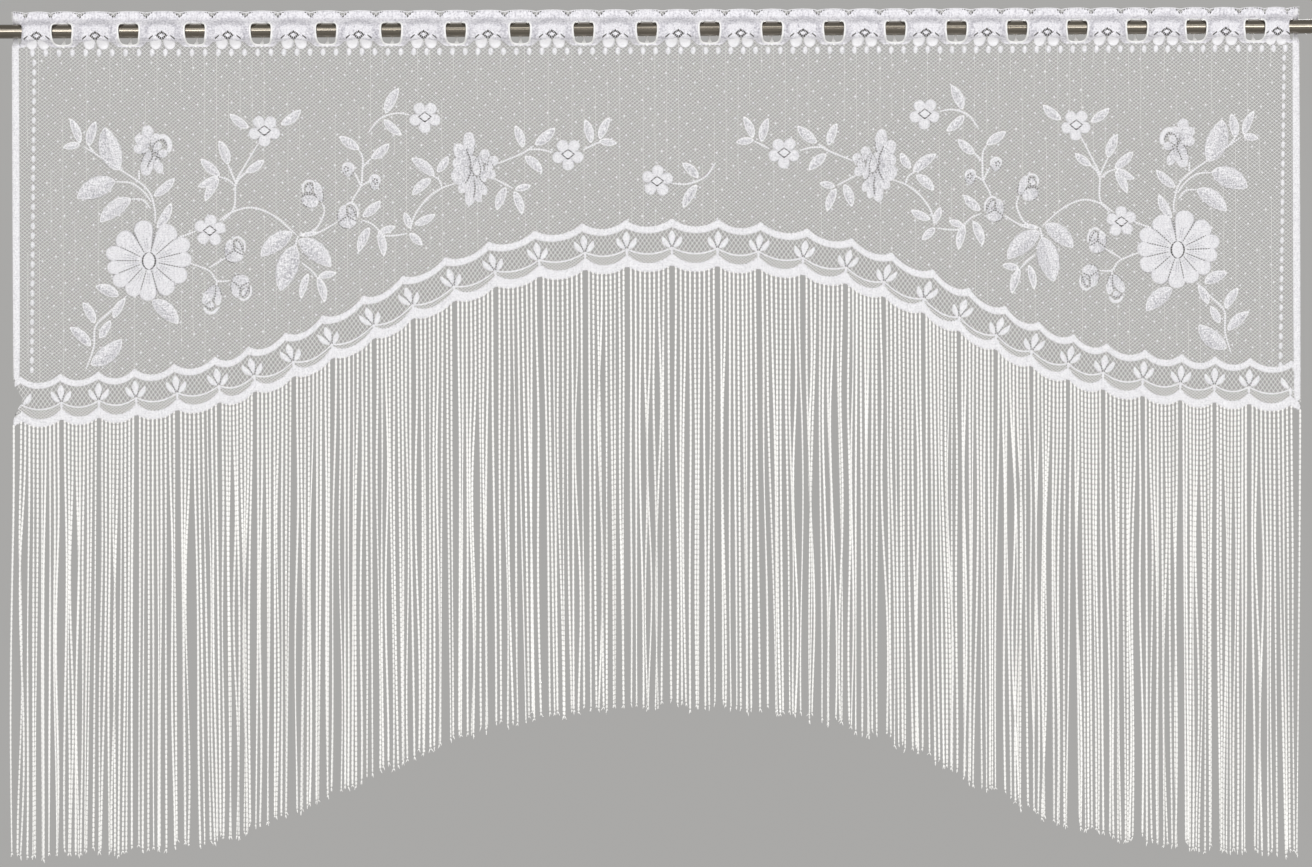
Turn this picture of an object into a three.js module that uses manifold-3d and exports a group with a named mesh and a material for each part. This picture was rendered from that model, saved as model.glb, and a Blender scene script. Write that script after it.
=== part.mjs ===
// A cafe curtain on its rod. The panel is white machine-knitted lace: its straight heading is woven
// over and under the rod, its lower edge is an arched border of scallops, and a string fringe of even
// length hangs from the border's last band, so the fringe repeats the arch.
// Millimetres, +Z up. The origin is on the rod's axis, midway along it. +X runs along the rod, and
// the face of the curtain looks towards -Y.
import * as THREE from 'three';
import { mergeVertices } from 'three/addons/utils/BufferGeometryUtils.js';
import Module from 'manifold-3d';

const wasm = await Module();
wasm.setup();

// Driving dimensions
const ROD = { radius: 6.5, length: 1220, sides: 32 };
const PANEL = { left: -592.5, right: 592.5, thickness: 1.4, hemWidth: 7, hemThickness: 2.2 };

// The heading: windows for the rod, each with a narrow bar in its middle that passes behind the rod.
// The pitch shrinks a little from one window to the next, because the heading is pushed to the right.
const WINDOWS = { count: 20, first: -545, pitch: 61.3, shrink: 0.406, hemBar: 591.2 };
const SLOT = { top: 6.9, bottom: -12.8, inner: 2.2, outer: 8.4, chamfer: 2.4 };
const HEADING = { notch: 16.7, scallop: 1.8, foot: -36 };

// How far the heading bows in front of the rod and behind it, and where that bow begins and ends.
const WEAVE = { bow: 8.3, barEdge: 2.6, flowerEdge: 6.6, above: [7, 16], below: [-7, -24] };

// Soft folds in the hanging cloth: place along the rod, half width, and depth towards the front.
const FOLDS = [
  { x: -430, width: 46, depth: 4 },
  { x: -255, width: 34, depth: -4 },
  { x: -140, width: 17, depth: 5 },
  { x: -62, width: 15, depth: 6 },
  { x: -22, width: 14, depth: -4 },
  { x: 92, width: 16, depth: 6 },
  { x: 176, width: 15, depth: 6 },
  { x: 235, width: 24, depth: -5 },
  { x: 355, width: 32, depth: 4 },
  { x: 490, width: 44, depth: -4 },
];
const FOLD_START = -20;
const FOLD_FULL = -170;

// The border: the step from each cusp to the next, counted outwards from the middle of the arch. The
// steps shrink towards the sides, and they are as uneven as the knitting.
const SCALLOPS = {
  middle: 14.3,
  stepsLeft: [41.4, 38.3, 42.2, 40.2, 38, 38.4, 36, 38.2, 35.6, 35.9, 32.2, 38.6, 38.1, 34.6, 34.4, 36.5],
  stepsRight: [41.9, 37.4, 41, 39.1, 35.1, 36.8, 32.2, 34, 32.2, 34, 32.2, 36.8, 35, 31.3, 31.3, 38.2],
};
const ARCH = { crown: 172.4, riseLeft: 144.4, riseRight: 134.1, scallops: 14, wave: 3.2, waveScallops: 8.8 };
const BAND = { depth: 5.5, swag: 5.5, thickness: 2 };
const STRIP = { top: 33.3, bottom: 42, swag: 5.7, gap: 0.56, slopeSpan: 20 };
const COLUMNS_PER_SCALLOP = 4;

// The fringe: flat strings in groups, one group to a scallop, with a wider gap between groups.
// Towards the right the strings are cut a little longer.
const STRING = { width: 1.9, depth: 1.1, length: 405, lengthPerMetre: 11, root: 3.5, steps: 2 };
const GROUP = { strings: 9, margin: 0.085, endStrings: 2 };
const SWAY = { amplitude: 2.2, strings: 17, jitter: 0.2, depth: 3 };

const COLOURS = { lace: 0xf0f0f5, string: 0xf6f3ea, metal: 0x8a8172 };

const clamp01 = (t) => Math.min(1, Math.max(0, t));
const smooth = (from, to, v) => {
  const t = clamp01((v - from) / (to - from));
  return t * t * (3 - 2 * t);
};

// Places of the windows from left to right; the hems act as the bars of half windows at both ends.
const windowPlaces = [-WINDOWS.hemBar];
for (let k = 0, x = WINDOWS.first; k < WINDOWS.count; k += 1) {
  windowPlaces.push(x);
  x += WINDOWS.pitch - WINDOWS.shrink * k;
}
windowPlaces.push(WINDOWS.hemBar);

// Places of the cusps between scallops, from left to right.
const cusps = [SCALLOPS.middle];
for (const step of SCALLOPS.stepsLeft) cusps.unshift(cusps[0] - step);
for (const step of SCALLOPS.stepsRight) cusps.push(cusps[cusps.length - 1] + step);

// The number of whole and part steps that x lies along an ascending list of places.
function stepsAlong(places, x) {
  let k = 0;
  while (k < places.length - 2 && x > places[k + 1]) k += 1;
  return k + (x - places[k]) / (places[k + 1] - places[k]);
}

// Depth of the cloth's middle surface behind the rod's axis, at a place on the face of the curtain.
function clothDepth(x, z) {
  const toWindow = Math.min(...windowPlaces.map((place) => Math.abs(x - place)));
  const side = 1 - 2 * smooth(WEAVE.barEdge, WEAVE.flowerEdge, toWindow);
  const bow = WEAVE.bow * (1 - smooth(...WEAVE.above, z)) * (1 - smooth(...WEAVE.below, z));
  const hang = smooth(FOLD_START, FOLD_FULL, z);
  let depth = side * bow;
  for (const fold of FOLDS) depth -= hang * fold.depth * Math.exp(-(((x - fold.x) / fold.width) ** 2));
  return depth;
}

// Height of the heading's scalloped top edge: two small scallops to each window.
function topEdge(x) {
  const crest = Math.abs(Math.cos(2 * Math.PI * stepsAlong(windowPlaces, x)));
  return HEADING.notch + HEADING.scallop * Math.sqrt(crest);
}

// Height of the line through the cusps of the border: a raised cosine with a shallow wave on it.
function archLine(x) {
  const steps = stepsAlong(cusps, x) - SCALLOPS.stepsLeft.length;
  const rise = steps < 0 ? ARCH.riseLeft : ARCH.riseRight;
  const turn = Math.PI * Math.min(1, Math.abs(steps) / ARCH.scallops);
  const wave = ARCH.wave * Math.cos(2 * Math.PI * steps / ARCH.waveScallops);
  return -ARCH.crown - rise * (1 - Math.cos(turn)) / 2 - wave;
}

// How far a swag hangs below its cusps, as a share: none at a cusp and one midway.
function swagShare(x) {
  const t = stepsAlong(cusps, x);
  const along = 2 * (t - Math.floor(t)) - 1;
  return 1 - along * along;
}

// The border is as deep square to the arch as where it is level, so it is drawn up where it is steep.
function drawnUp(x) {
  const span = STRIP.slopeSpan;
  const slope = (archLine(x + span) - archLine(x - span)) / (2 * span);
  return 1 / Math.hypot(1, slope);
}
const borderEdge = (below, swag) => (x) => archLine(x) - below * drawnUp(x) - swag * swagShare(x);

// Columns across the panel: heading columns follow the windows, border columns follow the scallops.
function headingColumns(shares, edges) {
  const columns = [PANEL.left];
  for (let k = 0; k + 1 < windowPlaces.length; k += 1) {
    const from = windowPlaces[k];
    const to = windowPlaces[k + 1];
    for (const share of shares) columns.push(from + share * (to - from));
    for (const edge of edges) columns.push(from + edge, to - edge);
  }
  columns.push(PANEL.right);
  return columns.sort((a, b) => a - b);
}

function borderColumns() {
  const columns = [PANEL.left, PANEL.left + PANEL.hemWidth, PANEL.right - PANEL.hemWidth];
  for (let k = 0; k + 1 < cusps.length; k += 1) {
    for (let s = 0; s < COLUMNS_PER_SCALLOP; s += 1) {
      columns.push(cusps[k] + (s / COLUMNS_PER_SCALLOP) * (cusps[k + 1] - cusps[k]));
    }
  }
  columns.push(cusps[cusps.length - 1], PANEL.right);
  return columns.sort((a, b) => a - b);
}

// Triangles between two rows of points, taken in turn from the row that lags behind.
function zipRows(upper, lower, upperStart, lowerStart) {
  const triangles = [];
  let i = 0;
  let j = 0;
  while (i + 1 < upper.length || j + 1 < lower.length) {
    const upperNext = i + 1 < upper.length ? upper[i + 1].x : Infinity;
    const lowerNext = j + 1 < lower.length ? lower[j + 1].x : Infinity;
    if (upperNext <= lowerNext) {
      triangles.push([upperStart + i, lowerStart + j, upperStart + i + 1]);
      i += 1;
    } else {
      triangles.push([upperStart + i, lowerStart + j, lowerStart + j + 1]);
      j += 1;
    }
  }
  return triangles;
}

// A closed sheet on rows of points {x, z, thickness}: the front and back lie half a thickness from
// the middle surface along its normal, and a wall closes the rim between them.
function sheetSolid(rows) {
  const points = rows.flat();
  const step = 3;
  const front = [];
  const back = [];
  for (const { x, z, thickness } of points) {
    const middle = new THREE.Vector3(x, clothDepth(x, z), z);
    const slopeX = (clothDepth(x + step, z) - clothDepth(x - step, z)) / (2 * step);
    const slopeZ = (clothDepth(x, z + step) - clothDepth(x, z - step)) / (2 * step);
    const normal = new THREE.Vector3(0, -1, 0);
    const onRim = x === PANEL.left || x === PANEL.right;
    if (!onRim) normal.set(slopeX, -1, slopeZ).normalize();
    front.push(middle.clone().addScaledVector(normal, thickness / 2));
    back.push(middle.clone().addScaledVector(normal, -thickness / 2));
  }
  const face = [];
  for (let r = 0, start = 0; r + 1 < rows.length; r += 1) {
    face.push(...zipRows(rows[r], rows[r + 1], start, start + rows[r].length));
    start += rows[r].length;
  }
  const edges = new Set();
  for (const [a, b, c] of face) for (const edge of [[a, b], [b, c], [c, a]]) edges.add(edge.join());
  const count = points.length;
  const index = [];
  for (const [a, b, c] of face) index.push(a, b, c, count + a, count + c, count + b);
  for (const edge of edges) {
    const [a, b] = edge.split(',').map(Number);
    if (!edges.has(`${b},${a}`)) index.push(b, a, count + a, b, count + a, count + b);
  }
  const geometry = new THREE.BufferGeometry();
  const coordinates = [...front, ...back].flatMap((p) => p.toArray());
  geometry.setAttribute('position', new THREE.Float32BufferAttribute(coordinates, 3));
  geometry.setIndex(index);
  return geometry;
}

const plain = () => PANEL.thickness;

function row(columns, height, thicknessAt) {
  return columns.map((x) => ({ x, z: height(x), thickness: thicknessAt(x) }));
}

// Between a three.js geometry and a solid that can be joined and cut.
function toSolid(geometry) {
  const bare = geometry.clone();
  for (const name of ['normal', 'uv']) bare.deleteAttribute(name);
  const merged = mergeVertices(bare, 1e-4);
  const vertProperties = new Float32Array(merged.attributes.position.array);
  const triVerts = new Uint32Array(merged.index.array);
  return new wasm.Manifold(new wasm.Mesh({ numProp: 3, vertProperties, triVerts }));
}

function toGeometry(solid) {
  const mesh = solid.getMesh();
  const geometry = new THREE.BufferGeometry();
  geometry.setAttribute('position', new THREE.BufferAttribute(new Float32Array(mesh.vertProperties), 3));
  geometry.setIndex(new THREE.BufferAttribute(new Uint32Array(mesh.triVerts), 1));
  return geometry;
}

function namedMesh(name, geometry, color, roughness, metalness) {
  geometry.computeVertexNormals();
  const mesh = new THREE.Mesh(geometry, new THREE.MeshStandardMaterial({ color, roughness, metalness }));
  mesh.name = name;
  return mesh;
}

// The rod: a plain round bar with flat ends.
function rod() {
  const geometry = new THREE.CylinderGeometry(ROD.radius, ROD.radius, ROD.length, ROD.sides);
  geometry.rotateZ(Math.PI / 2);
  return namedMesh('rod', geometry, COLOURS.metal, 0.3, 1);
}

// One slot beside a window's bar: its outer corners are cut off, towards +X or -X.
function slotSolid(place, towards) {
  const near = place + towards * SLOT.inner;
  const far = place + towards * SLOT.outer;
  const cut = far - towards * SLOT.chamfer;
  const outline = new THREE.Shape();
  outline.moveTo(near, SLOT.top);
  outline.lineTo(cut, SLOT.top);
  outline.lineTo(far, SLOT.top - SLOT.chamfer);
  outline.lineTo(far, SLOT.bottom + SLOT.chamfer);
  outline.lineTo(cut, SLOT.bottom);
  outline.lineTo(near, SLOT.bottom);
  const depth = 6 * WEAVE.bow;
  const geometry = new THREE.ExtrudeGeometry(outline, { depth, bevelEnabled: false });
  geometry.translate(0, 0, -depth / 2);
  geometry.rotateX(Math.PI / 2);
  return toSolid(geometry);
}

// The lace panel: heading with its slots, net ground, side hems and the border down to its last band.
function lacePanel() {
  const hemStart = PANEL.right - PANEL.hemWidth;
  const ground = (x) => (Math.abs(x) > hemStart ? PANEL.hemThickness : PANEL.thickness);
  const band = (x) => Math.max(ground(x), BAND.thickness);
  const headingRows = headingColumns([0.5], [WEAVE.barEdge, WEAVE.flowerEdge]);
  const topColumns = headingColumns([0, 0.14, 0.25, 0.36, 0.5, 0.64, 0.75, 0.86], []);
  const columns = borderColumns();
  const rows = [row(topColumns, topEdge, plain)];
  for (const z of [12, 8, -9, -15.5]) rows.push(row(headingRows, () => z, plain));
  for (const z of [-24, HEADING.foot]) rows.push(row(headingRows, () => z, ground));
  for (const share of [0.4, 0.75]) {
    rows.push(row(columns, (x) => HEADING.foot + share * (archLine(x) - HEADING.foot), ground));
  }
  rows.push(row(columns, borderEdge(0, BAND.swag), band));
  rows.push(row(columns, borderEdge(BAND.depth, BAND.swag), band));
  rows.push(row(columns, borderEdge(STRIP.top - STRIP.gap, STRIP.swag), ground));
  let solid = toSolid(sheetSolid(rows));
  for (const place of windowPlaces) {
    if (place < WINDOWS.hemBar) solid = solid.subtract(slotSolid(place, 1));
    if (place > -WINDOWS.hemBar) solid = solid.subtract(slotSolid(place, -1));
  }
  return namedMesh('lace_panel', toGeometry(solid), COLOURS.lace, 0.9, 0);
}

// Places of the strings' roots along the border, in groups of one scallop.
function stringPlaces() {
  const places = [];
  const addGroup = (from, to, count) => {
    for (let s = 0; s < count; s += 1) {
      const share = GROUP.margin + (1 - 2 * GROUP.margin) * (s / (count - 1));
      places.push(from + share * (to - from));
    }
  };
  addGroup(PANEL.left, cusps[0], GROUP.endStrings);
  for (let k = 0; k + 1 < cusps.length; k += 1) addGroup(cusps[k], cusps[k + 1], GROUP.strings);
  addGroup(cusps[cusps.length - 1], PANEL.right, GROUP.endStrings);
  return places;
}

// One string: a flat prism that hangs from inside the strip and sways a little towards its free end.
function stringSolid(place, number, stripEdge) {
  const edge = stripEdge(place);
  const length = STRING.length + STRING.lengthPerMetre * place / 1000;
  const tall = length + STRING.root;
  const section = new THREE.Shape();
  section.moveTo(-STRING.width / 2, -STRING.depth / 2);
  section.lineTo(STRING.width / 2, -STRING.depth / 2);
  section.lineTo(0, STRING.depth / 2);
  const steps = STRING.steps;
  const geometry = new THREE.ExtrudeGeometry(section, { depth: tall, steps, bevelEnabled: false });
  const turn = 2 * Math.PI * number / SWAY.strings;
  const rootDepth = clothDepth(place, edge);
  const slope = Math.atan((clothDepth(place + 1, edge) - clothDepth(place - 1, edge)) / 2);
  const corners = geometry.attributes.position;
  for (let v = 0; v < corners.count; v += 1) {
    const free = 1 - corners.getZ(v) / tall;
    const along = corners.getX(v);
    const across = corners.getY(v);
    const sideways = SWAY.amplitude * Math.sin(turn) * free + SWAY.jitter * Math.sin(5 * number) * free;
    const forward = SWAY.depth * Math.sin(2.4 * turn + 1) * free;
    corners.setXYZ(
      v,
      place + along * Math.cos(slope) - across * Math.sin(slope) + sideways,
      rootDepth + along * Math.sin(slope) + across * Math.cos(slope) + forward,
      edge - length + corners.getZ(v),
    );
  }
  return toSolid(geometry);
}

// The fringe: the border's last scalloped band, with the strings fused into its lower edge.
function fringe() {
  const columns = borderColumns();
  const stripEdge = borderEdge(STRIP.bottom, STRIP.swag);
  const strip = [row(columns, borderEdge(STRIP.top, STRIP.swag), plain), row(columns, stripEdge, plain)];
  const strings = stringPlaces().map((place, number) => stringSolid(place, number, stripEdge));
  const solid = wasm.Manifold.union([toSolid(sheetSolid(strip)), ...strings]);
  return namedMesh('fringe', toGeometry(solid), COLOURS.string, 0.85, 0);
}

const curtain = new THREE.Group();
curtain.add(rod(), lacePanel(), fringe());

export default curtain;
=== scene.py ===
"""A white lace cafe curtain on its rod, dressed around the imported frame. Lengths are in millimetres."""

import bmesh
import bpy
import numpy as np
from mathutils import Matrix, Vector


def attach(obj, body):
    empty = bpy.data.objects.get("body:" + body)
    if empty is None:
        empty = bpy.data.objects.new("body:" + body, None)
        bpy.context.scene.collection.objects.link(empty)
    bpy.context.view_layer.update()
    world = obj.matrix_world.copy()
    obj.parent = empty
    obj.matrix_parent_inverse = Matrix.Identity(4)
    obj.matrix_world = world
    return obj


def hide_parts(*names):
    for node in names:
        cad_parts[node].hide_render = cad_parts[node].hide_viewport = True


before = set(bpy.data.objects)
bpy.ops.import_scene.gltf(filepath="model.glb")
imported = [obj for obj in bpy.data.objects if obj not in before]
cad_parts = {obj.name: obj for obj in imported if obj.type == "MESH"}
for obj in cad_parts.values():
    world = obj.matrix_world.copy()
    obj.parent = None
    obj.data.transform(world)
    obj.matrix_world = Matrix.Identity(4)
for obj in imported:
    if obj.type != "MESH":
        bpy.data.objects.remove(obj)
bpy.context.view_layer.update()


# Rod
# A slim metal rod, drawn to 13 mm, which the heading of the curtain is woven onto. Drawing leaves
# fine lines along it. It is finished in a warm grey, and its ends are cut square and chamfered.
MM = 0.001
ROD_RADIUS = 6.5
ROD_LENGTH = 1220
ROD_CHAMFER = 0.7
ROD_SIDES = 96
# A ring of points this close to an edge keeps the edge crisp under smooth shading.
EDGE_RING = 0.1
ROD_GREY = (0.31, 0.28, 0.23, 1)
ROD_BROWN = (0.13, 0.11, 0.085, 1)
# Grains to the millimetre of drawn lines and handling marks. The stretch draws the lines out along x.
DRAWN_GRAIN = 2.4
DRAWN_STRETCH = 0.01
HANDLING_GRAIN = 0.035
ROD_ROUGHNESS = 0.13
WELD_METRES = 2e-6


class Socket:
    """One output among a material's nodes. Sums, products and the like of sockets add Math nodes."""

    def __init__(self, tree, output):
        self.tree = tree
        self.output = output

    def node(self, kind, settings=None, sockets=None, out=0):
        """Add a node of any kind: its settings first, then values or links for its sockets."""
        made = self.tree.nodes.new(kind)
        for name, value in (settings or {}).items():
            setattr(made, name, value)
        for name, value in (sockets or {}).items():
            if isinstance(value, Socket):
                self.tree.links.new(value.output, made.inputs[name])
            else:
                made.inputs[name].default_value = value
        return Socket(self.tree, made.outputs[out])

    def math(self, operation, *others):
        """A Math node on this socket and up to two more values."""
        return self.node("ShaderNodeMath", {"operation": operation}, dict(enumerate((self, *others))))

    def __add__(self, other):
        return self.math("ADD", other)

    def __sub__(self, other):
        return self.math("SUBTRACT", other)

    def __rsub__(self, other):
        return self.math("MULTIPLY_ADD", -1.0, other)

    def __mul__(self, other):
        return self.math("MULTIPLY", other)

    def __truediv__(self, other):
        return self.math("DIVIDE", other)

    def __gt__(self, other):
        return self.math("GREATER_THAN", other)

    def __lt__(self, other):
        return self.math("LESS_THAN", other)

    __radd__ = __add__
    __rmul__ = __mul__

    def near(self, middle, reach):
        """1 where the value lies within reach of middle, and 0 elsewhere."""
        return (self - middle).math("ABSOLUTE") < reach

    def off_line(self, period):
        """Distance to the nearest multiple of period, as a share of the period from 0 to 0.5."""
        return 0.5 - ((self / period).math("FRACT") - 0.5).math("ABSOLUTE")

    def held(self):
        """The value held between 0 and 1."""
        return self.math("MAXIMUM", 0.0).math("MINIMUM", 1.0)

    def mix(self, first, second):
        """A colour between two colours, this socket being the second one's share."""
        return self.node("ShaderNodeMix", {"data_type": "RGBA"}, {0: self, 6: first, 7: second}, out=2)


def new_finish(name, **even):
    """A material with one Principled shader, its even inputs set on the shader's own sockets."""
    material = bpy.data.materials.new(name)
    material.use_nodes = True
    shader = material.node_tree.nodes["Principled BSDF"]
    for socket, value in even.items():
        shader.inputs[socket.replace("_", " ")].default_value = value
    return material, Socket(material.node_tree, shader.outputs[0])


def feed(material, **inputs):
    """Link sockets that vary over the surface to the Principled shader's inputs."""
    shader = material.node_tree.nodes["Principled BSDF"]
    for name, socket in inputs.items():
        material.node_tree.links.new(socket.output, shader.inputs[name.replace("_", " ")])


def split(any_socket, vector):
    """The three parts of a vector."""
    parts = any_socket.node("ShaderNodeSeparateXYZ", None, {0: vector})
    return [Socket(parts.tree, output) for output in parts.output.node.outputs]


def places_in_mm(any_socket):
    """A point's own place on the object, in millimetres: its x, y and z."""
    place = any_socket.node("ShaderNodeTexCoord", out="Object")
    return [part * 1000.0 for part in split(any_socket, place)]


def speckle(x, y, z, scale, detail=2.0):
    """Noise from 0 to 1 at a place, scale being its grains to the millimetre."""
    place = x.node("ShaderNodeCombineXYZ", None, {0: x, 1: y, 2: z})
    return x.node("ShaderNodeTexNoise", None, {"Vector": place, "Scale": scale, "Detail": detail}, out=0)


def raised(height, strength, distance):
    """A surface normal tipped by a height from 0 to 1 that stands distance metres tall."""
    return height.node(
        "ShaderNodeBump", None, {"Strength": strength, "Distance": distance, "Height": height}
    )


def grid_faces(rows, columns, around=False):
    """Quads between neighbours on a grid of points. Around joins the last column to the first."""
    index = np.arange(rows * columns).reshape(rows, columns)
    if around:
        index = np.column_stack([index, index[:, 0]])
    return np.stack([index[:-1, :-1], index[1:, :-1], index[1:, 1:], index[:-1, 1:]], -1).reshape(-1, 4)


def repeat_faces(faces, copies, points_each):
    """The same faces for each of a number of like bodies whose points follow each other."""
    return (faces[None] + np.arange(copies)[:, None, None] * points_each).reshape(-1, 4)


def add_piece(name, points, faces, material, slot, node, weld=False, **attributes):
    """A smooth mesh from points in mm and quads that rides on the part and stands for a solid."""
    mesh = bpy.data.meshes.new(name)
    points = np.asarray(points, float).reshape(-1, 3)
    mesh.vertices.add(len(points))
    mesh.vertices.foreach_set("co", (points * MM).ravel())
    mesh.loops.add(faces.size)
    mesh.loops.foreach_set("vertex_index", faces.ravel())
    mesh.polygons.add(len(faces))
    mesh.polygons.foreach_set("loop_start", np.arange(0, faces.size, 4))
    mesh.update(calc_edges=True)
    for key, values in attributes.items():
        layer = mesh.attributes.new(key, "FLOAT_VECTOR", "POINT")
        layer.data.foreach_set("vector", np.asarray(values, float).ravel())
    if weld:
        body = bmesh.new()
        body.from_mesh(mesh)
        bmesh.ops.remove_doubles(body, verts=body.verts, dist=WELD_METRES)
        body.to_mesh(mesh)
        body.free()
    mesh.shade_smooth()
    mesh.materials.append(material)
    piece = bpy.data.objects.new(name, mesh)
    bpy.context.collection.objects.link(piece)
    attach(piece, "root")
    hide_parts(node)
    return piece


def rod_surface():
    """Rings of points round the x axis: a flat end, a chamfer, the length, a chamfer and a flat end."""
    end = ROD_LENGTH / 2
    bevel = end - ROD_CHAMFER
    ring = bevel - EDGE_RING
    along = np.array([-end, -end, -end, -bevel, -ring, ring, bevel, end, end, end])
    inner = ROD_RADIUS - ROD_CHAMFER
    radius = np.array([0, inner - EDGE_RING, inner, ROD_RADIUS, ROD_RADIUS])
    radius = np.concatenate([radius, radius[::-1]])[:, None]
    turn = 2 * np.pi * np.arange(ROD_SIDES) / ROD_SIDES
    x = np.broadcast_to(along[:, None], (len(along), ROD_SIDES))
    return np.stack([x, radius * np.cos(turn), -radius * np.sin(turn)], -1)


rod_metal, start = new_finish("rod_metal", Metallic=1.0, Coat_Weight=0.6, Coat_Roughness=0.05)
x, y, z = places_in_mm(start)
drawn_lines = speckle(x * DRAWN_STRETCH, y, z, DRAWN_GRAIN, 3.0)
handling = speckle(x, y, z, HANDLING_GRAIN)
feed(
    rod_metal,
    Base_Color=(drawn_lines * 0.7 + handling * 0.3).mix(ROD_BROWN, ROD_GREY),
    Roughness=drawn_lines * 0.1 + handling * 0.06 + ROD_ROUGHNESS,
    Normal=raised(drawn_lines, 0.12, 0.0002),
)
rod_points = rod_surface()
rod_faces = grid_faces(len(rod_points), ROD_SIDES, True)
add_piece("rod_tube", rod_points, rod_faces, rod_metal, "rod_metal", "rod", True)


# Net ground
# One knitted width of fine diamond net that everything else is knitted into. It goes behind the rod
# at each bar of the heading and in front of it at each flower, and hangs below in shallow folds.
PANEL_LEFT = -592.5
PANEL_RIGHT = 592.5
WINDOW_FIRST = -545
WINDOW_PITCH = 61.3
WINDOW_SHRINK = 0.406
WINDOW_COUNT = 20
HEM_BAR = 591.2
WINDOW_HALF = 9.8
WINDOW_TOP = 6.9
WINDOW_FOOT = -12.8
HEADING_FOOT = -36
CREST_LOW = 16.7
CREST_RISE = 1.8
BOW = 8.3
BAR_EDGE = 2.6
FLOWER_EDGE = 6.6
BOW_RISE = (3, 12)
BOW_FADE = (-6.5, -14)
# Each fold: its middle, its half width and how far it stands to the front.
FOLDS = np.array([
    (-430, 46, 4), (-255, 34, -4), (-140, 17, 5), (-62, 15, 6), (-22, 14, -4),
    (92, 16, 6), (176, 15, 6), (235, 24, -5), (355, 32, 4), (490, 44, -4),
])
FOLD_START = -20
FOLD_FULL = -170
CUSP_MIDDLE = 14.3
# The step from each cusp of the border to the next, counted outwards from the middle one.
STEPS_LEFT = (41.4, 38.3, 42.2, 40.2, 38, 38.4, 36, 38.2, 35.6, 35.9, 32.2, 38.6, 38.1, 34.6, 34.4, 36.5)
STEPS_RIGHT = (41.9, 37.4, 41, 39.1, 35.1, 36.8, 32.2, 34, 32.2, 34, 32.2, 36.8, 35, 31.3, 31.3, 38.2)
CUSPS_A_SIDE = 16
MEAN_STEP = 37
ARCH_CROWN = 172.4
ARCH_RISE_LEFT = 144.4
ARCH_RISE_RIGHT = 134.1
ARCH_SCALLOPS = 14
ARCH_WAVE = 3.2
WAVE_SCALLOPS = 8.8
BORDER_LEAN = 0.85
TULIP_FOOT_BELOW = 27
BAND_DEPTH = 6.6
BAND_SWAG = 5.7
CORD_BELOW = 25.4
CORD_SWAG = 5.4
STRIP_TOP = 33.3
STRIP_SWAG = 5.7
DRAWN_DEEP = 8.5
DRAWN_AT = -339
DRAWN_HALF = 11
NET_COLUMN = 3.4
NET_ROWS = 84
# Columns of points to each side of a window's middle, and rows beside and under the windows.
WINDOW_COLUMNS = (0, 2.2, 3.3, 4.4, 5.5, 6.9)
WINDOW_ROWS = (3.5, 0, -4, -8)
UNDER_ROWS = (-17, -22, -27)
CREST_ROWS = 4
NET_TUCK = 0.6
# The width and height of each net's diamonds, and the share of the way across that its threads take.
GROUND_MESH = (4.1, 3.4)
GROUND_THREAD = 0.128
OPEN_MESH = (4.0, 5.4)
OPEN_THREAD = 0.125
FINE_MESH = (3.4, 2.6)
FINE_THREAD = 0.19
WALE_LINE = 10.9
WALE_THREAD = 0.012
WANDER = 1.6
WANDER_GRAIN = 0.06
FIBRE_GRAIN = 1.3
# Noise flecks the threads between white and a grey that is painted shade on their round sides.
THREAD_WHITE = (0.92, 0.915, 0.91, 1)
THREAD_SHADE = (0.66, 0.65, 0.64, 1)

window_steps = WINDOW_PITCH - WINDOW_SHRINK * np.arange(WINDOW_COUNT - 1)
WINDOWS = WINDOW_FIRST + np.concatenate([[0], np.cumsum(window_steps)])
PLACES = np.concatenate([[-HEM_BAR], WINDOWS, [HEM_BAR]])
CUSPS = CUSP_MIDDLE + np.concatenate([-np.cumsum(STEPS_LEFT)[::-1], [0], np.cumsum(STEPS_RIGHT)])
COLUMNS_A_SCALLOP = 24
BORDER_END = (CUSPS_A_SIDE + 1) * COLUMNS_A_SCALLOP
BORDER_STEPS = np.arange(-BORDER_END, BORDER_END + 1) / COLUMNS_A_SCALLOP


def smooth(low, high, value):
    """Smoothstep: 0 at low, 1 at high, level at both ends."""
    t = np.clip((value - low) / (high - low), 0, 1)
    return t * t * (3 - 2 * t)


def steps_along(places, x):
    """How many steps along a row of places x lies, running on evenly past the first and last."""
    k = np.clip(np.searchsorted(places, x) - 1, 0, len(places) - 2)
    return k + (x - places[k]) / (places[k + 1] - places[k])


def from_window(x):
    """Distance to the nearest window's middle, the half windows at the hems included."""
    return np.abs(np.asarray(x)[..., None] - PLACES).min(-1)


def cloth_depth(x, z):
    """The cloth's y: the weave round the rod near the heading, and the folds below it.

    The weave is a bow of 8.3 mm, behind the rod within 2.6 mm of a window's middle and in front from
    6.6 mm. It dies away above and below the rod. Each fold is a bell across x that grows downwards.
    """
    side = 1 - 2 * smooth(BAR_EDGE, FLOWER_EDGE, from_window(x))
    bow = BOW * (1 - smooth(*BOW_RISE, z)) * (1 - smooth(*BOW_FADE, z))
    hang = smooth(FOLD_START, FOLD_FULL, z)
    folds = sum(depth * np.exp(-(((x - middle) / width) ** 2)) for middle, width, depth in FOLDS)
    return side * bow - hang * folds


def top_edge(x):
    """The top of the heading: a crest over each window and each flower, a notch between."""
    return CREST_LOW + CREST_RISE * np.sqrt(np.abs(np.cos(2 * np.pi * steps_along(PLACES, x))))


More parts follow.
